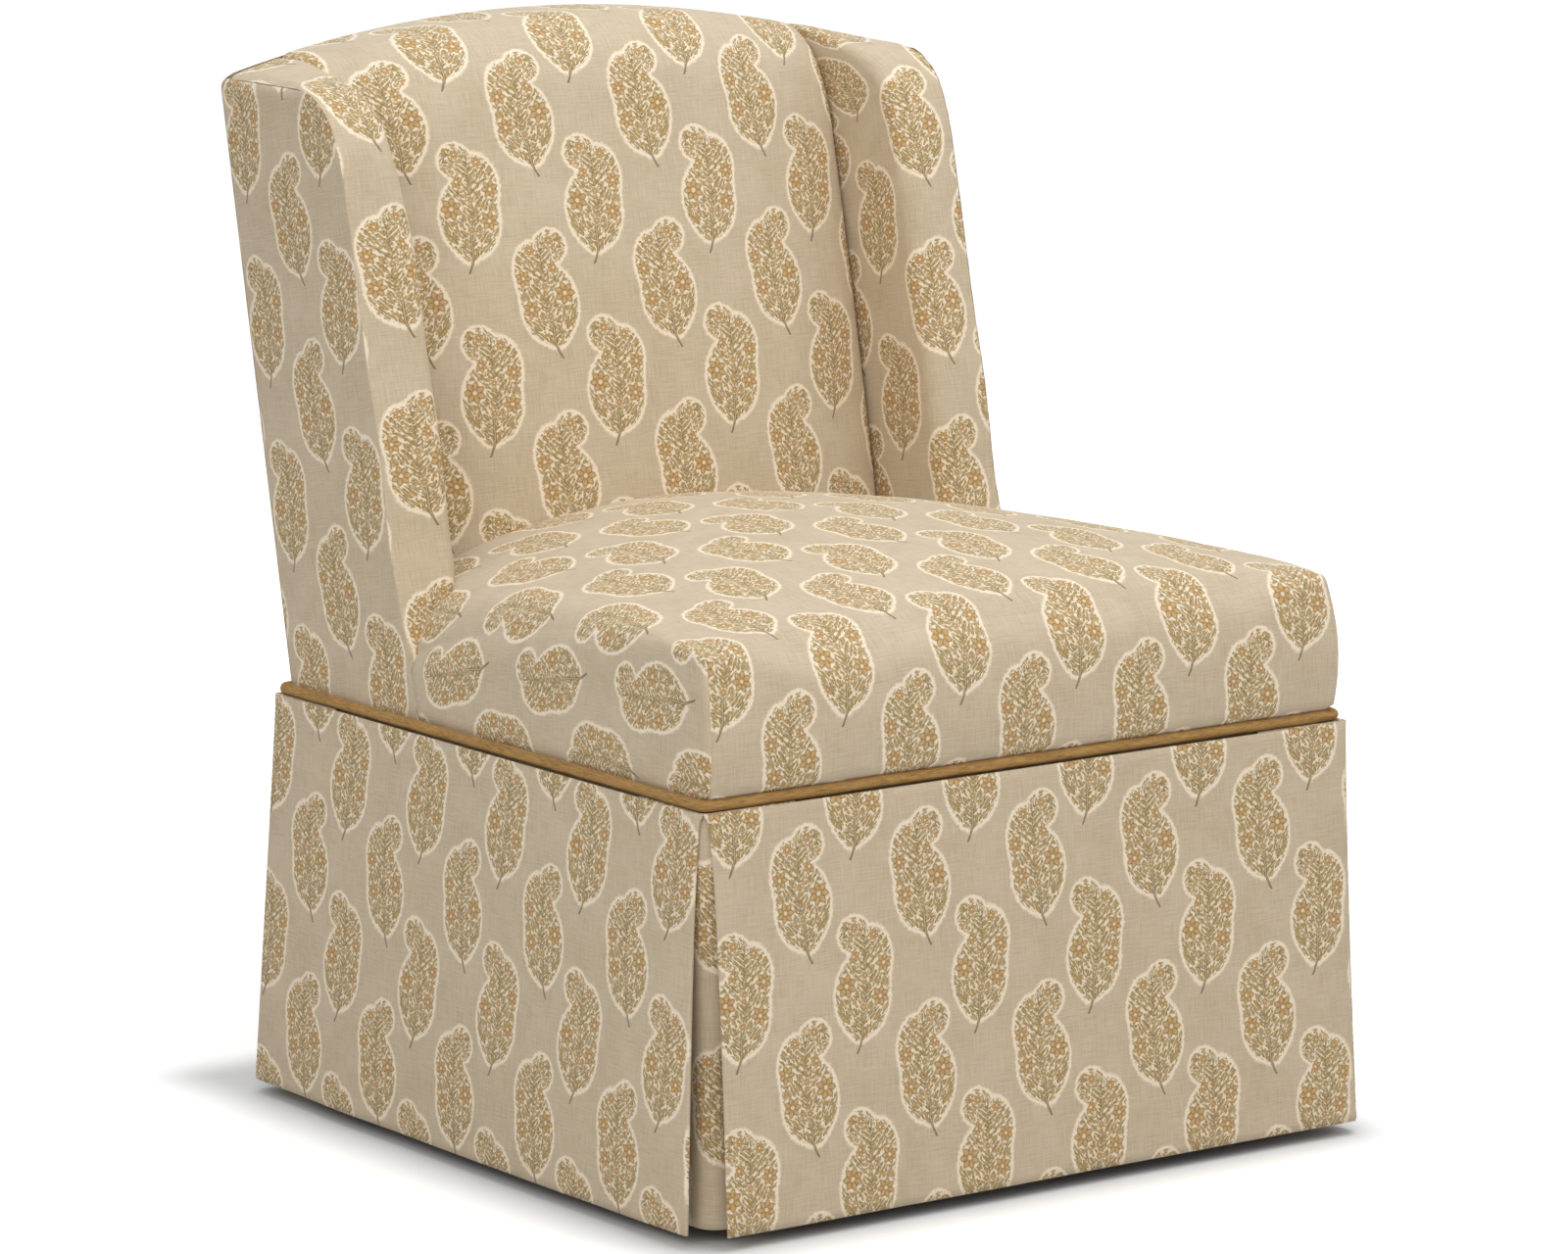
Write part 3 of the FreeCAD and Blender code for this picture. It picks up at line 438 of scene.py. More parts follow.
def back_profile(x, drawn):
    """Path of the inside back at x: up its face, over its head and back to the seam at the rear."""
    top = crown_z(x)
    middle = 1 - (min(1.0, abs(x) / WING_X)) ** 2.5
    deep_a = lerp(HEAD_DEPTH_SIDE, HEAD_DEPTH_MIDDLE, middle)
    high_b = lerp(HEAD_HEIGHT_SIDE, HEAD_HEIGHT_MIDDLE, middle)
    spring = top - high_b
    face = back_depth(x, spring)
    points = []
    for z in spread(BACK_FOOT, spring, 30):
        points.append((back_depth(x, z) - drawn, z))
    for a in spread(0, 90, 16)[1:]:
        c, s = math.cos(math.radians(a)) ** 0.86, math.sin(math.radians(a)) ** 0.86
        points.append((face - deep_a + (deep_a - drawn) * c, spring + (high_b - drawn) * s))
    last = points[-1]
    for d in spread(last[0], REAR_ROUND, 5)[1:]:
        points.append((d, last[1]))
    for a in spread(0, 90, 4)[1:]:
        r = math.radians(a)
        points.append((REAR_ROUND * (1 - math.sin(r)), last[1] - REAR_ROUND * (1 - math.cos(r))))
    return [Vector((x, rear_y(z, d), z)) for d, z in points]


def make_inside_back():
    flat = WING_X - END_ROUND
    turn = [(flat + END_ROUND * math.sin(math.radians(a)) - 0.4, END_ROUND * (1 - math.cos(math.radians(a))))
            for a in spread(0, 90, 7)[1:]] + [(WING_X - 0.4, END_ROUND + END_TUCK)]
    columns = [(-x, d) for x, d in reversed(turn)] + [(x, 0.0) for x in spread(-flat, flat, 60)] + turn
    grid = [back_profile(x, drawn) for x, drawn in columns]
    lengths = [lengths_along(column) for column in grid]
    out = []
    for j, row in enumerate(zip(*grid)):
        us = from_middle(row)
        cells = []
        for i, p in enumerate(row):
            fade = smooth((WING_X - abs(columns[i][0])) / 30.0)
            swell = (1.3 * waves(p, 120.0, 1.7) + 0.5 * waves(p, 45.0, 5.2)) * fade
            if p.z < CROWN_TOP - 60:
                p = p - Vector((0, swell, 0))
            cells.append((p, (us[i] / BACK_STRETCH, lengths[i][j])))
        out.append(cells)
    return outward(piece("inside_back_upholstery", [out]), (0, BACK, 500))


def wing_path(count):
    points = through([(0.0, y + FRONT, z) for y, z in WING_LINE])
    return even([tuple(p) for p in points], count)


def make_wing(side):
    """Front band, round inner edge and inner face of one wing, up over its head to the rear."""
    name = "left_wing_upholstery" if side < 0 else "right_wing_upholstery"
    count = 110
    path = wing_path(count)
    total = sum((b - a).length for a, b in zip(path, path[1:]))
    step = total / count
    inward = []
    for k in range(count + 1):
        tangent = (path[min(count, k + 1)] - path[max(0, k - 1)]).normalized()
        inward.append(Vector((0, tangent.z, -tangent.y)))
    gap_line = even([tuple(p) for p in back_profile(WING_X, END_ROUND + END_TUCK - 4)], 400)
    gap_low = Vector((0, rear_y(345.0, BACK_SIDE - 30), 345.0))
    gap_line = even([tuple(gap_low)] + [(0.0, p.y, p.z) for p in gap_line], 500)
    # the straight part goes straight back; the head is shared out along the rest of the gap
    turn_z = 770.0
    below_head = [k for k in range(count + 1) if path[k].y <= FRONT + HEAD_FROM]
    k_turn = min(below_head, key=lambda k: abs(path[k].z - turn_z))

    def straight_back(p):
        back = Vector((0, RAKE_COS, -math.sin(RAKE_ANGLE)))
        return min(range(len(gap_line)), key=lambda g: abs((gap_line[g] - p).normalized().cross(back).length)
                   if (gap_line[g] - p).length > 1 else 9)

    g_turn = straight_back(path[k_turn])
    rows = []
    for k in range(count + 1):
        p, n = path[k], inward[k]
        if k <= k_turn:
            g = straight_back(p)
        else:
            g = int(lerp(g_turn, len(gap_line) - 1, (k - k_turn) / (count - k_turn)))
        q = gap_line[g]
        on_top = smooth((p.y - FRONT - HEAD_FROM) / 60.0)
        outer = lerp(SEAM_ROUND, HEAD_ROUND, on_top)
        inner = lerp(BAND_ROUND, 7.0, on_top)
        row = []

        def put(x, depth):
            row.append(Vector((x, 0, 0)) + p + n * depth)

        for a in spread(45, 90, 3):
            r = math.radians(a)
            put(HALF - outer + outer * math.cos(r), outer * (1 - math.sin(r)))
        start, end = HALF - outer, WING_X + inner
        for t in spread(0, 1, 9)[1:-1]:
            put(lerp(start, end, t), -1.3 * math.sin(math.pi * t) * (1 - on_top))
        for a in spread(0, 90, 7):
            r = math.radians(a)
            put(end - inner * math.sin(r), inner * (1 - math.cos(r)))
        edge = row[-1].copy()
        far = Vector((WING_X, q.y, q.z))
        for t in spread(0, 1, 10)[1:]:
            row.append(edge.lerp(far, t))
        cells = []
        for i, (point, u) in enumerate(zip(row, lengths_along(row))):
            fade = smooth(i / 4.0) * smooth((len(row) - i) / 5.0)
            point = point + n * -0.8 * waves(point, 80.0, 9.0 + side) * fade
            point.z += (crown_z(point.x) - WING_TOP) * smooth((point.y - FRONT - 600) / 70.0)
            if side < 0:
                swell = smooth((p.z - 430) / 60.0) * (1 - smooth((p.z - 730) / 130.0))
                point.x -= BAND_PUFF * swell * smooth((i - 4) / 10.0) * (1 - smooth((i - 17) / 8.0))
            cells.append((point, (-side * u, step * k)))
        rows.append(cells)
    if side < 0:
        rows = flip_x(rows)
    return outward(piece(name, [rows]), (side * 300, BACK - 60, 600))


def make_outside_wing(side):
    """Flat side panel of one wing, from the welt to the top."""
    name = "left_outside_wing" if side < 0 else "right_outside_wing"
    path = wing_path(400)
    front_part = [p for p in path if p.y < FRONT + 590]
    head = WING_TOP - 0.29 * HEAD_ROUND
    heights = spread(WELT_LOW, 800, 60) + [head - (head - 800) * (1 - t) ** 2 for t in spread(0, 1, 22)[1:]]
    rows = []
    for z in heights:
        front_y = min(front_part, key=lambda p: abs(p.z - z)).y
        back_y = rear_y(z)
        if z > WING_TOP - TOP_CORNER:
            back_y -= TOP_CORNER - math.sqrt(max(0.0, TOP_CORNER ** 2 - (z - WING_TOP + TOP_CORNER) ** 2))
        row = []
        for t in spread(0, 1, 40):
            t = t - 0.35 * math.sin(2 * math.pi * t) / (2 * math.pi)
            y = lerp(front_y, back_y, t)
            front_gap = y - front_y
            rear_gap = back_y - y
            top_gap = head - z
            inset = 0.0
            head_round = lerp(SEAM_ROUND, HEAD_ROUND, smooth((y - FRONT - HEAD_FROM) / 60.0))
            for gap, radius in ((front_gap, SEAM_ROUND), (rear_gap, 3.0), (top_gap, head_round)):
                reach = radius * 0.71
                if gap < reach:
                    inset = max(inset, radius - math.sqrt(max(0.0, radius ** 2 - (reach - gap) ** 2)))
            puff = 1.6 * smooth(front_gap / 60.0) * smooth(rear_gap / 60.0) * smooth(top_gap / 60.0)
            p = Vector((side * (HALF - inset + puff), y, z))
            p.x += side * 0.7 * waves(p, 90.0, 4.0 + side) * smooth(min(front_gap, rear_gap, top_gap) / 25.0)
            across = side * (y * math.cos(PRINT_LEAN) - z * math.sin(PRINT_LEAN))
            row.append((p, (across, y * math.sin(PRINT_LEAN) + z * math.cos(PRINT_LEAN))))
        rows.append(row)
    return outward(piece(name, [rows]), (0, FRONT + 500, 600))


def make_outside_back():
    xs = spread(-HALF, HALF, 90)
    xs = sorted(set(xs + [s * (HALF - d) for s in (-1, 1) for d in (0.4, 1, 2, 3.2, 4.8, 9, 12, 16)]))
    rows = []
    for t in [i / 80 for i in range(77)] + [0.962, 0.974, 0.984, 0.992, 0.997, 1.0]:
        row = []
        for x in xs:
            ax = abs(x)
            top = crown_z(x)
            if ax > HALF - TOP_CORNER:
                past = ax - HALF + TOP_CORNER
                top = WING_TOP - TOP_CORNER + math.sqrt(max(0.0, TOP_CORNER ** 2 - past ** 2))
            z = lerp(WELT_LOW, top - 2.0, t)
            inset = 0.0
            for gap, radius in ((HALF - ax, 3.0), (top - 2.0 - z, 5.0)):
                if gap < radius:
                    inset = max(inset, radius - math.sqrt(radius ** 2 - (radius - gap) ** 2))
            edge = smooth(min(HALF - ax, top - z, z - WELT_LOW) / 50.0)
            p = Vector((x, rear_y(z, inset * 0.7 - 1.2 * edge), z))
            p.y += 0.9 * waves(p, 130.0, 2.0) * edge
            row.append((p, (-x, (z - WELT_Z) / RAKE_COS)))
        rows.append(row)
    return outward(piece("outside_back", [rows]), (0, 0, 600))


def stand(t, hem_stand):
    return STAND_TOP + (hem_stand - STAND_TOP) * t


def pleat_gap(t, end, hand):
    return PLEAT_TOP + (PLEAT_HEM[end, hand] - PLEAT_TOP) * t ** PLEAT_POWER


def corner_at(t):
    """Half width, front and rear of the skirt's faces, from the welt (0) to the hem (1)."""
    return HALF + stand(t, STAND_SIDE), FRONT - stand(t, STAND_FRONT), BACK + stand(t, STAND_REAR)


def fold(a):
    """How far a fold reaches out, and its depth behind the cloth's middle, at an angle round it."""
    r = math.radians(a)
    return FOLD_ROUND * math.cos(r), FOLD_ROUND - FOLD_ROUND * math.sin(r)


def make_panel(name, side, seed):
    """Hanging panel whose ends are folded back behind it."""
    rows = []
    for t in spread(0, 1, 48):
        half, front, rear = corner_at(t)
        z = lerp(SKIRT_TOP, HEM, t)
        if side in ("front", "rear"):
            low, high = -half + pleat_gap(t, side, -1), half - pleat_gap(t, side, 1)
        else:
            hand = -1 if side == "left" else 1
            low, high = front + pleat_gap(t, "front", hand), rear - pleat_gap(t, "rear", hand)
        thick = CLOTH / 2
        ends = FOLD_ROUND + thick
        path = []
        for s in spread(FOLD_RETURN, 0, 6)[:-1]:
            path.append((low + ends + s, 2 * FOLD_ROUND + thick))
        for a in spread(-90, 90, 6):
            path.append((low + ends - fold(a)[0], thick + fold(a)[1]))
        for s in spread(0, 1, 70)[1:-1]:
            run = lerp(low + ends, high - ends, s)
            bow = (0.6 + 2.9 * t) * 4 * s * (1 - s)
            sway = waves((run, seed * 100, z * 0.5), 105.0, seed) * (0.4 + 1.7 * t * t)
            sway *= smooth(min(s, 1 - s) / 0.08)
            path.append((run, thick - bow - sway))
        for a in spread(90, -90, 6):
            path.append((high - ends + fold(a)[0], thick + fold(a)[1]))
        for s in spread(0, FOLD_RETURN, 6)[1:]:
            path.append((high - ends - s, 2 * FOLD_ROUND + thick))
        points = [Vector({"front": (run, front + depth, z), "rear": (run, rear - depth, z),
                          "left": (-half + depth, run, z), "right": (half - depth, run, z)}[side])
                  for run, depth in path]
        us = lengths_along(points)
        middle, v = us[len(us) // 2], -(SKIRT_TOP - HEM) * t * 1.0006
        way = {"front": 1, "rear": -1, "left": -1, "right": 1}[side]
        row = []
        for p, u in zip(points, us):
            away = math.hypot(half - p.x, p.y - front)
            flare = lerp(FLARE_TOP, FLARE_HEM, t * t) * math.exp(-(away / FLARE_REACH) ** 2)
            row.append((p + FLARE_WAY * flare, (way * (u - middle), v)))
        rows.append(row)
    made = outward(piece(name, [rows]), (0, FRONT + 306, 180))
    thicken(made, CLOTH)
    return made


def thicken(made, amount):
    shell = made.modifiers.new("cloth", "SOLIDIFY")
    shell.thickness = amount * MM
    shell.offset = 0
    shell.use_rim = True


def make_underlay(name, side, front):
    """Cloth behind the open pleat at one corner."""
    rows = []
    for t in spread(0, 1, 40):
        half, front_face, rear_face = corner_at(t)
        z = lerp(SKIRT_TOP, HEM + 1.5, t)
        inward = 1 if front else -1
        deep = UNDERLAY_DEEP if front and side < 0 else UNDERLAY_BEHIND
        behind = lerp(UNDERLAY_BEHIND, deep, smooth(t * 1.4))
        cx, cy = half - behind, (front_face if front else rear_face) + inward * behind
        radius = lerp(7.0, UNDERLAY_ROUND, min(1.0, t * 3))
        path = []
        for s in spread(UNDERLAY_LEG, radius, 8)[:-1]:
            path.append((0.0, s))
        for a in spread(0, 90, 8):
            r = math.radians(a)
            path.append((radius - radius * math.cos(r), radius - radius * math.sin(r)))
        for s in spread(radius, UNDERLAY_LEG, 8)[1:]:
            path.append((s, 0.0))
        points = [Vector((side * (cx - across), cy + inward * along, z)) for across, along in path]
        us = lengths_along(points)
        rows.append([(p, (-side * inward * (u - us[len(us) // 2]), -(SKIRT_TOP - HEM) * t))
                     for p, u in zip(points, us)])
    made = outward(piece(name, [rows]), (0, FRONT + 306, 180))
    thicken(made, CLOTH)
    return made


def make_welt():
    """Covered cord round the body, with its two ends meeting at a joint on the left side."""
    out, turn = WELT_RADIUS + 0.3, WELT_TURN
    half, front, rear = HALF + out, FRONT - out, BACK + out
    corners = [(half, front), (half, rear), (-half, rear), (-half, front)]
    path = []
    for i, (x, y) in enumerate(corners):
        nx, ny = corners[(i + 1) % 4]
        cx, cy = x - math.copysign(turn, x), y - math.copysign(turn, y)
        for a in spread(0, 90, 6):
            r = math.radians(90 * i - 90 + a)
            path.append(Vector((cx + turn * math.cos(r), cy + turn * math.sin(r), WELT_Z)))
        end = Vector((nx - math.copysign(turn, nx) if nx != x else x,
                      ny - math.copysign(turn, ny) if ny != y else y, WELT_Z))
        begin = path[-1].copy()
        steps = int((end - begin).length / 4)
        path += [begin.lerp(end, s / steps) for s in range(1, steps)]
    joint = Vector((-half, FRONT + WELT_JOINT, WELT_Z))
    start = min(range(len(path)), key=lambda i: (path[i] - joint).length)
    path = path[start:] + path[:start + 1]
    count = len(path)
    rows, along = [], 0.0
    for k, p in enumerate(path):
        before, after = path[max(0, k - 1)], path[min(count - 1, k + 1)]
        tangent = (after - before).normalized()
        across = Vector((tangent.y, -tangent.x, 0))
        if k:
            along += (p - path[k - 1]).length
        near = min(k, count - 1 - k) * 4.0
        radius = WELT_RADIUS * (1 + 0.045 * waves(p, 23.0, 1.0)) + 0.5 * math.exp(-(near / 7.0) ** 2)
        radius = min(radius, WELT_RADIUS + 0.45)
        wobble = Vector((0, 0, 0.45 * waves(p, 60.0, 6.0)))
        row = []
        for a in spread(0, 360, 20):
            r = math.radians(a)
            ripple = 1 + 0.02 * math.sin(3 * r + along / 9.0)
            way = across * math.cos(r) + Vector((0, 0, 1)) * math.sin(r)
            row.append((p + wobble + way * radius * ripple, (along, a / 360 * 2 * math.pi * WELT_RADIUS)))
        rows.append(row)
    made = piece("welt", [rows], weld=0.001)
    return outward(made, (0, 0, 360))


# Materials

class Value:
    """A shader socket that can be added, multiplied and so on."""

    def __init__(self, tree, socket):
        self.tree, self.socket = tree, socket

    def math(self, operation, *others):
        return out_of(self.tree, "Math", dict(enumerate((self,) + others)), operation=operation)

    def __add__(self, other):
        return self.math("ADD", other)

    __radd__ = __add__

    def __sub__(self, other):
        return self.math("SUBTRACT", other)

    def __mul__(self, other):
        return self.math("MULTIPLY", other)

    def __truediv__(self, other):
        return self.math("DIVIDE", other)

    def less(self, other):
        return self.math("LESS_THAN", other)

    def min(self, other):
        return self.math("MINIMUM", other)

    def max(self, other):
        return self.math("MAXIMUM", other)


def feed(tree, node, values):
    """Gives inputs of a node a fixed value each, or a link from a Value."""
    for slot, value in values.items():
        if isinstance(value, Value):
            tree.links.new(value.socket, node.inputs[slot])
        else:
            node.inputs[slot].default_value = value


def add_node(tree, kind, values=None, **settings):
    made = tree.nodes.new("ShaderNode" + kind)
    for setting, value in settings.items():
        setattr(made, setting, value)
    feed(tree, made, values or {})
    return made


def out_of(tree, kind, values=None, out=0, **settings):
    return Value(tree, add_node(tree, kind, values, **settings).outputs[out])


def pick(a, b, share):
    """a where share is 0 and b where it is 1."""
    return out_of(share.tree, "Mix", {0: share, 2: a, 3: b})


def tint(a, b, share):
    """Mix of two colours."""
    return out_of(share.tree, "Mix", {0: share, 6: a, 7: b}, 2, data_type="RGBA")


def ramp(value, low, high):
    """0 at low and 1 at high, with a smooth step between."""
    return out_of(value.tree, "MapRange", {0: value, 1: low, 2: high}, interpolation_type="SMOOTHSTEP")


def joined(tree, x, y, z=0.0):
    return out_of(tree, "CombineXYZ", {0: x, 1: y, 2: z})


def grain(tree, where, scale, detail=2.0, rough=0.5):
    values = {"Vector": where, "Scale": scale, "Detail": detail, "Roughness": rough}
    return out_of(tree, "TexNoise", values, "Fac")


def colour(r, g, b):
    """Linear colour of an sRGB one given as 0 to 255."""
    return (*(((c / 255 + 0.055) / 1.055) ** 2.4 if c > 10 else c / 255 / 12.92 for c in (r, g, b)), 1.0)


def new_material(name):
    made = bpy.data.materials.new(name)
    made.use_nodes = True
    return made, made.node_tree, made.node_tree.nodes["Principled BSDF"]


def cloth_place(tree):
    """Place on the cloth, in millimetres across and along."""
    parts = add_node(tree, "SeparateXYZ", {0: out_of(tree, "UVMap", uv_map="cloth")})
    return Value(tree, parts.outputs[0]) * 1000.0, Value(tree, parts.outputs[1]) * 1000.0


def weave(tree, u, v):
    """Slubby plain weave: threads across and along, about a millimetre apart."""
    along = grain(tree, joined(tree, u * 1.15, v * 0.045), 1.0, 1.5)
    across = grain(tree, joined(tree, u * 0.045, v * 1.15, 5.0), 1.0, 1.5)
    fine = grain(tree, joined(tree, u, v, 9.0), 1.6, 1.0)
    return along, across, fine


def bump(tree, shader, height, distance, strength):
    normal = out_of(tree, "Bump", {"Strength": strength, "Distance": distance, "Height": height})
    feed(tree, shader, {"Normal": normal})


GROUND = colour(203, 186, 160)
GROUND_DARK = colour(183, 165, 137)
HALO = colour(236, 220, 196)
CREAM = colour(231, 214, 186)
LEAF = colour(176, 153, 95)
LEAF_BROWN = colour(185, 149, 86)
INK = colour(108, 86, 40)
FLOWER = colour(202, 163, 103)
FLOWER_DARK = colour(172, 129, 70)

# Flowers of the sprig: middle across, middle up and radius, for a motif that hooks to the right
FLOWERS = [(-11.0, 34.0, 5.2), (9.5, 18.0, 6.2), (-20.0, 10.0, 7.6), (17.5, -5.0, 9.6), (-15.5, -17.0, 8.2),
           (8.0, 41.5, 4.6), (-3.5, 45.5, 3.4), (20.0, 28.0, 4.0), (-1.0, 2.0, 3.4), (1.5, -24.0, 3.6)]


def print_material():
    """Linen with a half-drop print of flowering botehs, in cream, olive and ochre."""
    made, tree, shader = new_material("printed_linen")
    u, v = cloth_place(tree)
    along, across, fine = weave(tree, u, v)
    ragged = grain(tree, joined(tree, u, v, 2.0), 0.34, 2.0, 0.6)
    ragged_b = grain(tree, joined(tree, u, v, 7.0), 0.30, 2.0, 0.6)
    uw = u + (ragged - 0.5) * 1.6
    vw = v + (ragged_b - 0.5) * 1.6

    # nearest motif: its own coordinates, mirrored for every other one
    half_c, half_r = COLUMN / 2, REPEAT / 2
    a_x, a_y = uw.math("WRAP", half_c, -half_c), vw.math("WRAP", half_r, -half_r)
    b_x, b_y = (uw - half_c).math("WRAP", half_c, -half_c), (vw - half_r).math("WRAP", half_r, -half_r)

    def reach(x, y):
        x, y = x / 31.0, y / 58.0
        return x * x + y * y

    second = reach(b_x, b_y).less(reach(a_x, a_y))
    x = pick(a_x, b_x * -1.0, second)
    y = pick(a_y, b_y, second)

    def ellipse(cx, cy, rx, ry):
        dx, dy = (x - cx) / rx, (y - cy) / ry
        return ((dx * dx + dy * dy).math("SQRT") - 1.0) * min(rx, ry)

    line_x = x - (y * y * 0.00222 - y * 0.0305 - 1.5) - (y * 0.16).math("SINE") * 1.3
    body = ellipse(2.0, -14.0, 29.0, 37.0)
    foot = ellipse(6.0, -32.0, 15.0, 22.0)
    neck = ellipse(-8.0, 14.0, 22.0, 30.0)
    hook = ellipse(8.5, 36.0, 17.0, 17.0)
    outline = body.math("SMOOTH_MIN", foot, 4.0).math("SMOOTH_MIN", neck, 8.0).math("SMOOTH_MIN", hook, 3.0)
    scallop = grain(tree, joined(tree, u, v, 11.0), 0.30, 2.0, 0.75)
    outline = outline + (scallop - 0.5) * 4.0
    stub = (line_x.math("ABSOLUTE") - 1.2).max((y + 55.5).math("ABSOLUTE") - 6.0)
    halo = ramp(outline.min(stub + 0.5), 1.3, -1.1)
    inside = ramp(outline + (fine - 0.5) * 3.0, -1.9, -3.3)

    # stem: a leaning line that turns over into the hook
    hx, hy = x - 9.5, y - 34.0
    ring = (hx * hx + hy * hy).math("SQRT")
    above = (y * -1.0).less(-34.0)
    turned = hx.math("ARCTAN2", hy) + math.pi / 2
    run = pick(y, turned * 9.5 + 34.0, above)
    off = pick(line_x, ring - 9.5, above)
    aside = off.math("ABSOLUTE")
    side = off.less(0.0)
    stem_half = pick(0.55, 1.3, ramp(y, 10.0, -50.0))
    stem = ramp(aside - stem_half, 0.4, -0.3) * ramp(outline.min(stub), 0.2, -0.4)
    stem_core = ramp(aside - stem_half * 0.5, 0.3, -0.3)

    # branches and leaves: up and out from the stem, in turn on either side
    climb = run - aside * 0.72 - aside * aside * 0.010 + side * 5.5
    branch = climb.math("WRAP", 5.6, -5.6).math("ABSOLUTE")
    twig = ramp(branch, 0.85, 0.25) * ramp(aside, 21.0, 16.0)

    def leaves(across_size, along_size, turn_x, seed, fill):
        place = joined(tree, (aside + climb * turn_x) / across_size + side * 13.0 + seed,
                       (climb - aside * turn_x) / along_size)
        cells = add_node(tree, "TexVoronoi", {"Vector": place, "Scale": 1.0, "Randomness": 0.85},
                         voronoi_dimensions="2D")
        chance = add_node(tree, "SeparateColor", {0: Value(tree, cells.outputs["Color"])})
        rim = Value(tree, cells.outputs["Distance"]) - (fill + Value(tree, chance.outputs[1]) * 0.14)
        return rim, Value(tree, chance.outputs[0])

    leaf_rim, kind = leaves(5.8, 2.7, 0.0, 0.0, 0.29)
    bud_rim, bud_kind = leaves(3.0, 4.6, 0.45, 31.0, 0.17)
    leaf = ramp(leaf_rim, 0.07, -0.05)
    leaf_edge = ramp(leaf_rim.math("ABSOLUTE"), 0.15, 0.03)
    bud = ramp(bud_rim, 0.08, -0.06)
    bud_edge = ramp(bud_rim.math("ABSOLUTE"), 0.16, 0.04)
    vein = ramp((climb / 3.0).math("PINGPONG", 0.5), 0.12, 0.02)

    # flowers: the nearest one, with petals round a pale eye
    near, fx, fy = outline * 0.0 + 9.0, outline * 0.0, outline * 0.0
    for cx, cy, radius in FLOWERS:
        dx, dy = (x - cx) / radius, (y - cy) / radius
        far = (dx * dx + dy * dy).math("SQRT")
        closer = far.less(near)
        near, fx, fy = near.min(far), pick(fx, dx, closer), pick(fy, dy, closer)
    petals = (fy.math("ARCTAN2", fx) * 7.0).math("COSINE")
    rim = near - (0.84 + petals * 0.15)
    flower = ramp(rim, 0.08, -0.08)
    flower_edge = ramp(rim.math("ABSOLUTE"), 0.17, 0.03)
    flower_lines = ramp(petals, -0.35, -0.95) * ramp(near, 0.30, 0.42)
    eye = ramp(near, 0.26, 0.14)
    eye_ring = ramp((near - 0.28).math("ABSOLUTE"), 0.14, 0.04)
    clear = ramp(near, 1.20, 1.0)

    # colours, one over the other
    blotch = grain(tree, joined(tree, u, v, 3.0), 0.022, 3.0, 0.6)
    threads = (along + across) * 0.5
    worn = threads + (blotch - 0.5) * 0.35 + (fine - 0.5) * 0.30
    ground = tint(GROUND_DARK, GROUND, ramp(worn, 0.28, 0.66))
    cream = tint(CREAM, HALO, ramp(outline, -5.5, -2.0))
    cream = tint(cream, CREAM, ramp(threads + (fine - 0.5) * 0.4, 0.5, 0.3) * 0.6)
    shade = tint(ground, cream, halo)
    green = tint(LEAF, LEAF_BROWN, ramp(kind, 0.3, 0.55))
    free = inside * (1.0 + clear * -1.0)
    wash = ramp(fine + (threads - 0.5), 0.2, 0.7) * 0.35 + 0.65
    bloom = tint(FLOWER, FLOWER_DARK, ramp(near, 0.95, 0.45) * 0.6)
    for tone, share in (
            (tint(LEAF_BROWN, LEAF, ramp(bud_kind, 0.3, 0.6)), bud * free * wash * 0.85),
            (INK, bud_edge * free * 0.60 * wash),
            (green, leaf * free * wash),
            (INK, leaf_edge * free * 0.66 * wash),
            (INK, vein * leaf * free * 0.30),
            (INK, twig * free * 0.45),
            (INK, stem * (1.0 + clear * -0.7) * pick(0.45, 0.85, ramp(y, 5.0, -45.0))),
            (CREAM, stem_core * stem * ramp(y, -5.0, -30.0) * ramp(y, -58.0, -46.0) * 0.45),
            (bloom, flower * inside * wash),
            (INK, flower_edge * inside * 0.60),
            (INK, flower_lines * flower * inside * 0.55),
            (INK, eye_ring * flower * inside * 0.4),
            (HALO, eye * flower * inside * 0.7)):
        shade = tint(shade, tone, share)
    feed(tree, shader, {"Base Color": shade, "Roughness": 0.86, "Specular IOR Level": 0.25,
                        "Sheen Weight": 0.12, "Sheen Roughness": 0.5})
    bump(tree, shader, along + across + fine * 0.5, 0.00022, 0.35)
    return made


def cord_material():
    """Short-piled gold cloth with fine lengthwise ribs."""
    made, tree, shader = new_material("welt_cloth")
    u, v = cloth_place(tree)
    streak = grain(tree, joined(tree, u * 0.10, v * 1.5), 1.0, 3.0)
    nap = grain(tree, joined(tree, u * 0.9, v * 0.9, 4.0), 1.0, 2.0)
    patch = grain(tree, joined(tree, u * 0.03, v * 0.15, 8.0), 1.0, 2.0)
    mix = ramp(streak * 0.6 + nap * 0.25 + patch * 0.25, 0.38, 0.70)
    feed(tree, shader, {"Base Color": tint(colour(128, 93, 48), colour(184, 144, 86), mix), "Roughness": 0.8,
                        "Specular IOR Level": 0.25, "Sheen Weight": 0.2, "Sheen Tint": colour(230, 200, 150)})
    bump(tree, shader, streak + nap * 0.6, 0.0004, 0.5)
    return made


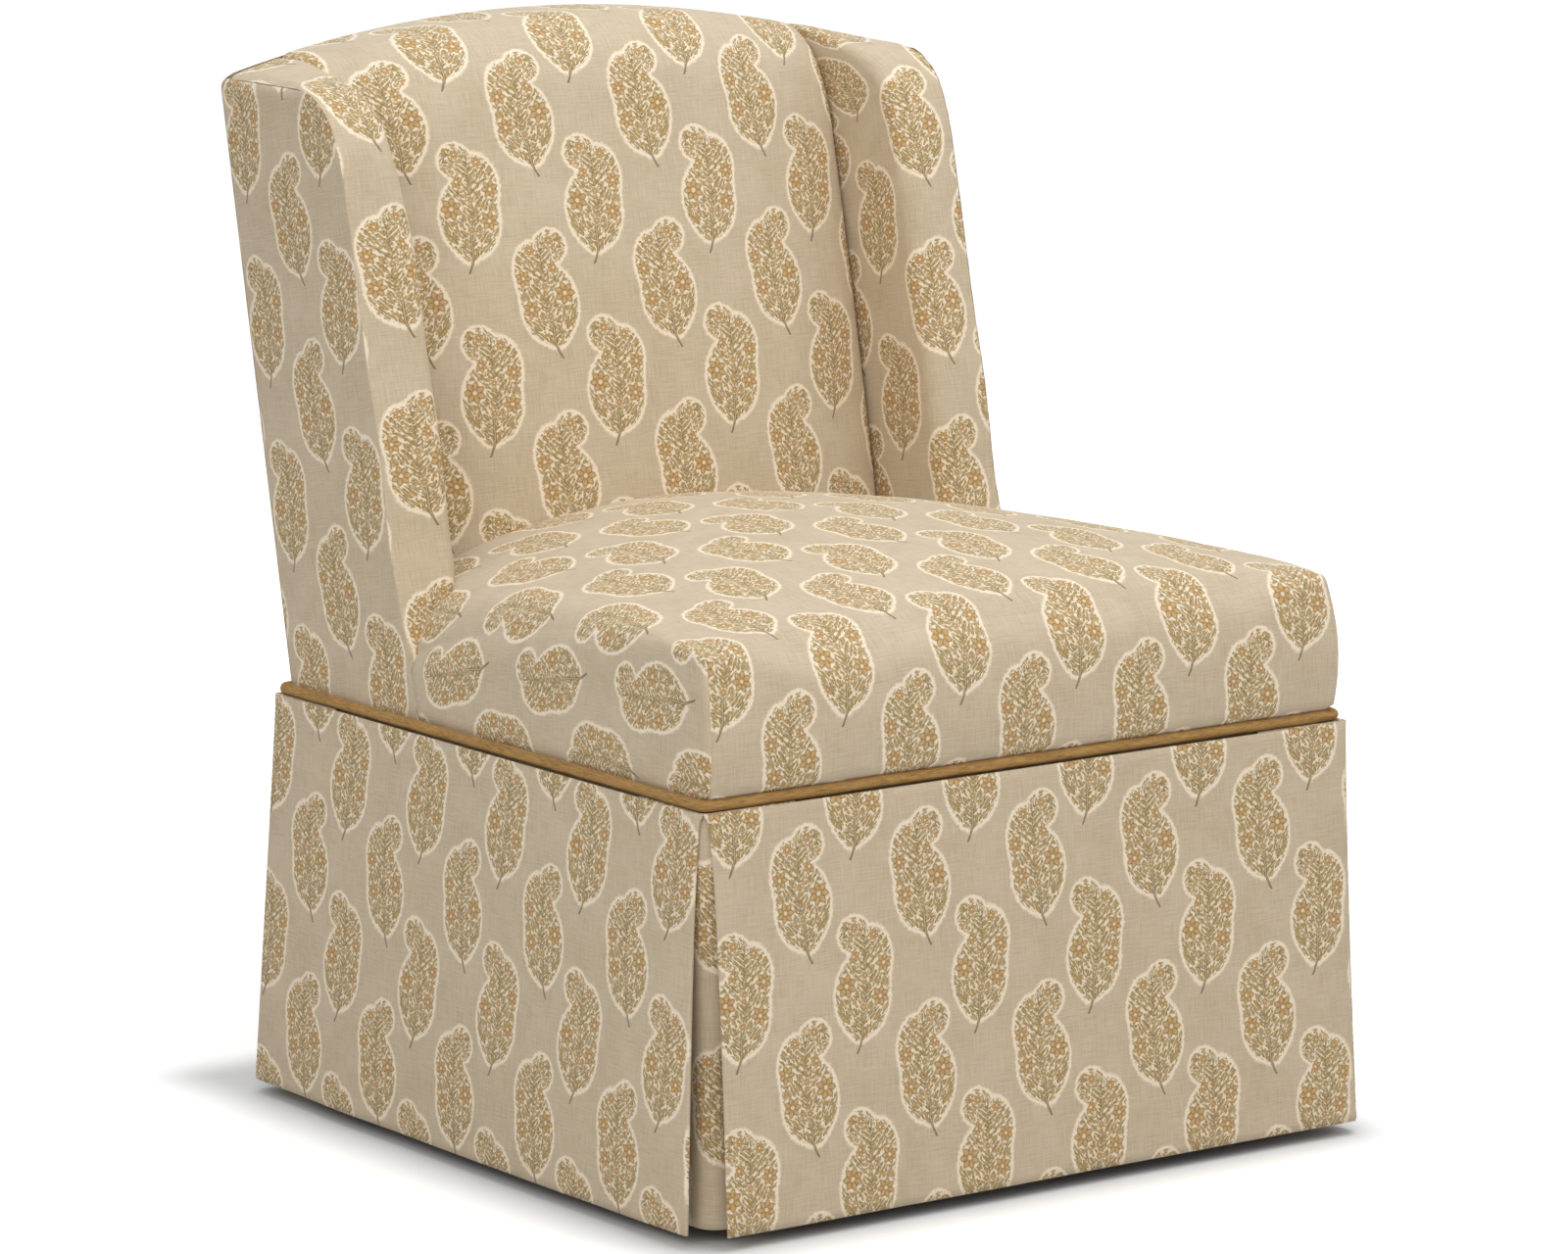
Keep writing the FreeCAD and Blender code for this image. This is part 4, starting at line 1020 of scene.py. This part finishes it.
def plain_material(name, dark, light, rough, scale, stretch=(1.0, 1.0, 1.0), metal=0.0, height=0.0002):
    """Solid material with grain in the object's own coordinates."""
    made, tree, shader = new_material(name)
    place = out_of(tree, "TexCoord", out="Object")
    where = out_of(tree, "Mapping", {0: place, "Scale": stretch})
    coarse = grain(tree, where, scale, 4.0)
    small = grain(tree, where, scale * 6, 2.0)
    mix = ramp(coarse * 0.7 + small * 0.3, 0.3, 0.7)
    feed(tree, shader, {"Base Color": tint(colour(*dark), colour(*light), mix), "Roughness": rough,
                        "Metallic": metal})
    bump(tree, shader, coarse + small, height, 0.4)
    return made


# Build

cloth = print_material()
gold = cord_material()
finishes = {
    "foam": plain_material("foam", (214, 196, 150), (232, 218, 180), 0.95, 180.0),
    "wadding": plain_material("wadding", (214, 210, 200), (236, 233, 226), 0.95, 60.0),
    "lining": plain_material("lining", (38, 38, 40), (58, 58, 60), 0.9, 300.0),
    "webbing": plain_material("webbing", (150, 120, 78), (188, 160, 112), 0.85, 200.0),
    "board": plain_material("board", (150, 130, 100), (180, 160, 128), 0.9, 90.0),
    "frame_wood": plain_material("frame_wood", (170, 132, 88), (206, 172, 126), 0.6, 9.0, (1.0, 1.0, 0.12)),
    "leg_wood": plain_material("leg_wood", (70, 42, 26), (104, 66, 42), 0.42, 10.0, (1.0, 1.0, 0.10)),
    "steel": plain_material("steel", (120, 122, 126), (168, 170, 174), 0.35, 40.0, metal=1.0),
    "glide_plastic": plain_material("glide_plastic", (30, 28, 26), (48, 45, 42), 0.5, 120.0),
    "printed_linen": cloth,
    "welt_cloth": gold,
}
slot_of = {entry["node"]: entry["material_slot"] for entry in frame["record"]["subparts"]}
for name, node in frame["nodes"].items():
    finish = finishes.get(slot_of.get(name), cloth)
    for spot in node.material_slots:
        spot.link = "OBJECT"
        spot.material = finish


def dress(made, slot, *nodes):
    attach(made, "root")
    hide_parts(*nodes)
    made.data.materials.append(finishes[slot])
    return made


dress(make_seat(), "printed_linen", "seat_cover", "seat_foam")
dress(make_inside_back(), "printed_linen", "inside_back_cover", "back_foam")
for hand, sign in (("left", -1), ("right", 1)):
    dress(make_wing(sign), "printed_linen", hand + "_wing_cover", hand + "_wing_foam")
    dress(make_outside_wing(sign), "printed_linen", hand + "_outside_wing_cover")
dress(make_outside_back(), "printed_linen", "outside_back_cover", "outside_back_wadding")
dress(make_welt(), "welt_cloth", "welt_cord")

for seed, side in enumerate(("front", "rear", "left", "right")):
    made = dress(make_panel("skirt_" + side, side, seed + 1.0), "printed_linen", "skirt_" + side + "_panel")
    half, front, rear = corner_at(FLAT_AT)
    face = 2 * half if side in ("front", "rear") else rear - front
    span = face - 2 * pleat_gap(FLAT_AT, "rear", 1) + 2 * FOLD_RETURN
    span * MM
for end in ("front", "rear"):
    for hand, sign in (("left", -1), ("right", 1)):
        made = dress(make_underlay("underlay_" + end + "_" + hand, sign, end == "front"), "printed_linen",
                     "skirt_" + end + "_" + hand + "_pleat")


# Floor, light and camera

def make_floor():
    mesh = bpy.data.meshes.new("floor")
    size = 14.0
    corners = [(-size, -size, 0), (size, -size, 0), (size, size, 0), (-size, size, 0)]
    mesh.from_pydata(corners, [], [(0, 1, 2, 3)])
    floor = bpy.data.objects.new("floor", mesh)
    bpy.context.scene.collection.objects.link(floor)
    made, tree, shader = new_material("floor")
    feed(tree, shader, {"Base Color": (0.82, 0.82, 0.82, 1), "Roughness": 0.9, "Specular IOR Level": 0.1})
    parts = add_node(tree, "SeparateXYZ", {0: out_of(tree, "TexCoord", out="Object")})
    away_x = (Value(tree, parts.outputs[0]).math("ABSOLUTE") - 0.33).max(0.0)
    away_y = (Value(tree, parts.outputs[1]).math("ABSOLUTE") - 0.36).max(0.0)
    away = (away_x * away_x + away_y * away_y).math("SQRT")
    # the glow rises from nothing at the chair's footprint: within 8 cm of the hem the floor stays darker, a
    # painted shadow over the real one the lamps cast
    strength = ramp(away, 0.0, 0.08) * GLOW_NEAR + ramp(away, 0.1, 1.3) * GLOW_FAR
    plain = Value(tree, shader.outputs[0])
    glowing = out_of(tree, "AddShader", {0: plain, 1: out_of(tree, "Emission", {"Strength": strength})})
    seen = out_of(tree, "LightPath", out="Is Camera Ray")
    feed(tree, tree.nodes["Material Output"], {0: out_of(tree, "MixShader", {0: seen, 1: plain, 2: glowing})})
    mesh.materials.append(made)


def make_world():
    world = bpy.data.worlds.new("studio")
    bpy.context.scene.world = world
    world.use_nodes = True
    tree = world.node_tree
    base = tree.nodes["Background"]
    feed(tree, base, {0: (1, 1, 1, 1), 1: AMBIENT})
    white = out_of(tree, "Background", {0: (1, 1, 1, 1), 1: 1.0})
    rays = add_node(tree, "LightPath")
    either = Value(tree, rays.outputs["Is Camera Ray"]).max(Value(tree, rays.outputs["Is Glossy Ray"]))
    mix = out_of(tree, "MixShader", {0: either, 1: Value(tree, base.outputs[0]), 2: white})
    feed(tree, tree.nodes["World Output"], {0: mix})


def lamp(name, place, aim, size, power, tone=(1.0, 1.0, 1.0)):
    data = bpy.data.lights.new(name, "AREA")
    data.shape = "RECTANGLE"
    data.size, data.size_y = size
    data.energy = power
    data.color = tone
    made = bpy.data.objects.new(name, data)
    made.location = place
    made.rotation_mode = "QUATERNION"
    made.rotation_quaternion = (Vector(aim) - Vector(place)).to_track_quat("-Z", "Y")
    bpy.context.scene.collection.objects.link(made)


AMBIENT = 0.42
GLOW_NEAR, GLOW_FAR = 0.42, 0.25   # glow of the floor, as the camera sees it; none at the hem, which leaves a painted shadow round the skirt
CAMERA_AT = (-3.4986, -4.8167, 1.5010)
CAMERA_AIM = (-0.02256, -0.0458, 0.4261)
LENS = 163.575

make_floor()
make_world()
lamp("key", (-3.0, -2.5, 2.4), (0, 0, 0.5), (2.6, 2.0), 56, (1.0, 0.985, 0.96))
lamp("front", (0.3, -1.2, 2.2), (0, 0.2, 0.75), (1.2, 0.9), 11, (1.0, 0.985, 0.95))
lamp("top", (0.2, 0.1, 3.4), (0, 0, 0.5), (3.0, 3.0), 54, (0.88, 0.94, 1.0))
lamp("fill", (3.4, -2.2, 1.6), (0, 0, 0.4), (2.0, 2.0), 12, (1.0, 0.97, 0.93))

camera = bpy.data.objects.new("camera", bpy.data.cameras.new("camera"))
camera.data.lens = LENS
camera.data.sensor_width = 36.0
camera.data.clip_end = 60.0
camera.location = CAMERA_AT
camera.rotation_mode = "QUATERNION"
camera.rotation_quaternion = (Vector(CAMERA_AIM) - Vector(CAMERA_AT)).to_track_quat("-Z", "Y")
bpy.context.scene.collection.objects.link(camera)
bpy.context.scene.camera = camera
bpy.context.scene.view_settings.view_transform = "Standard"
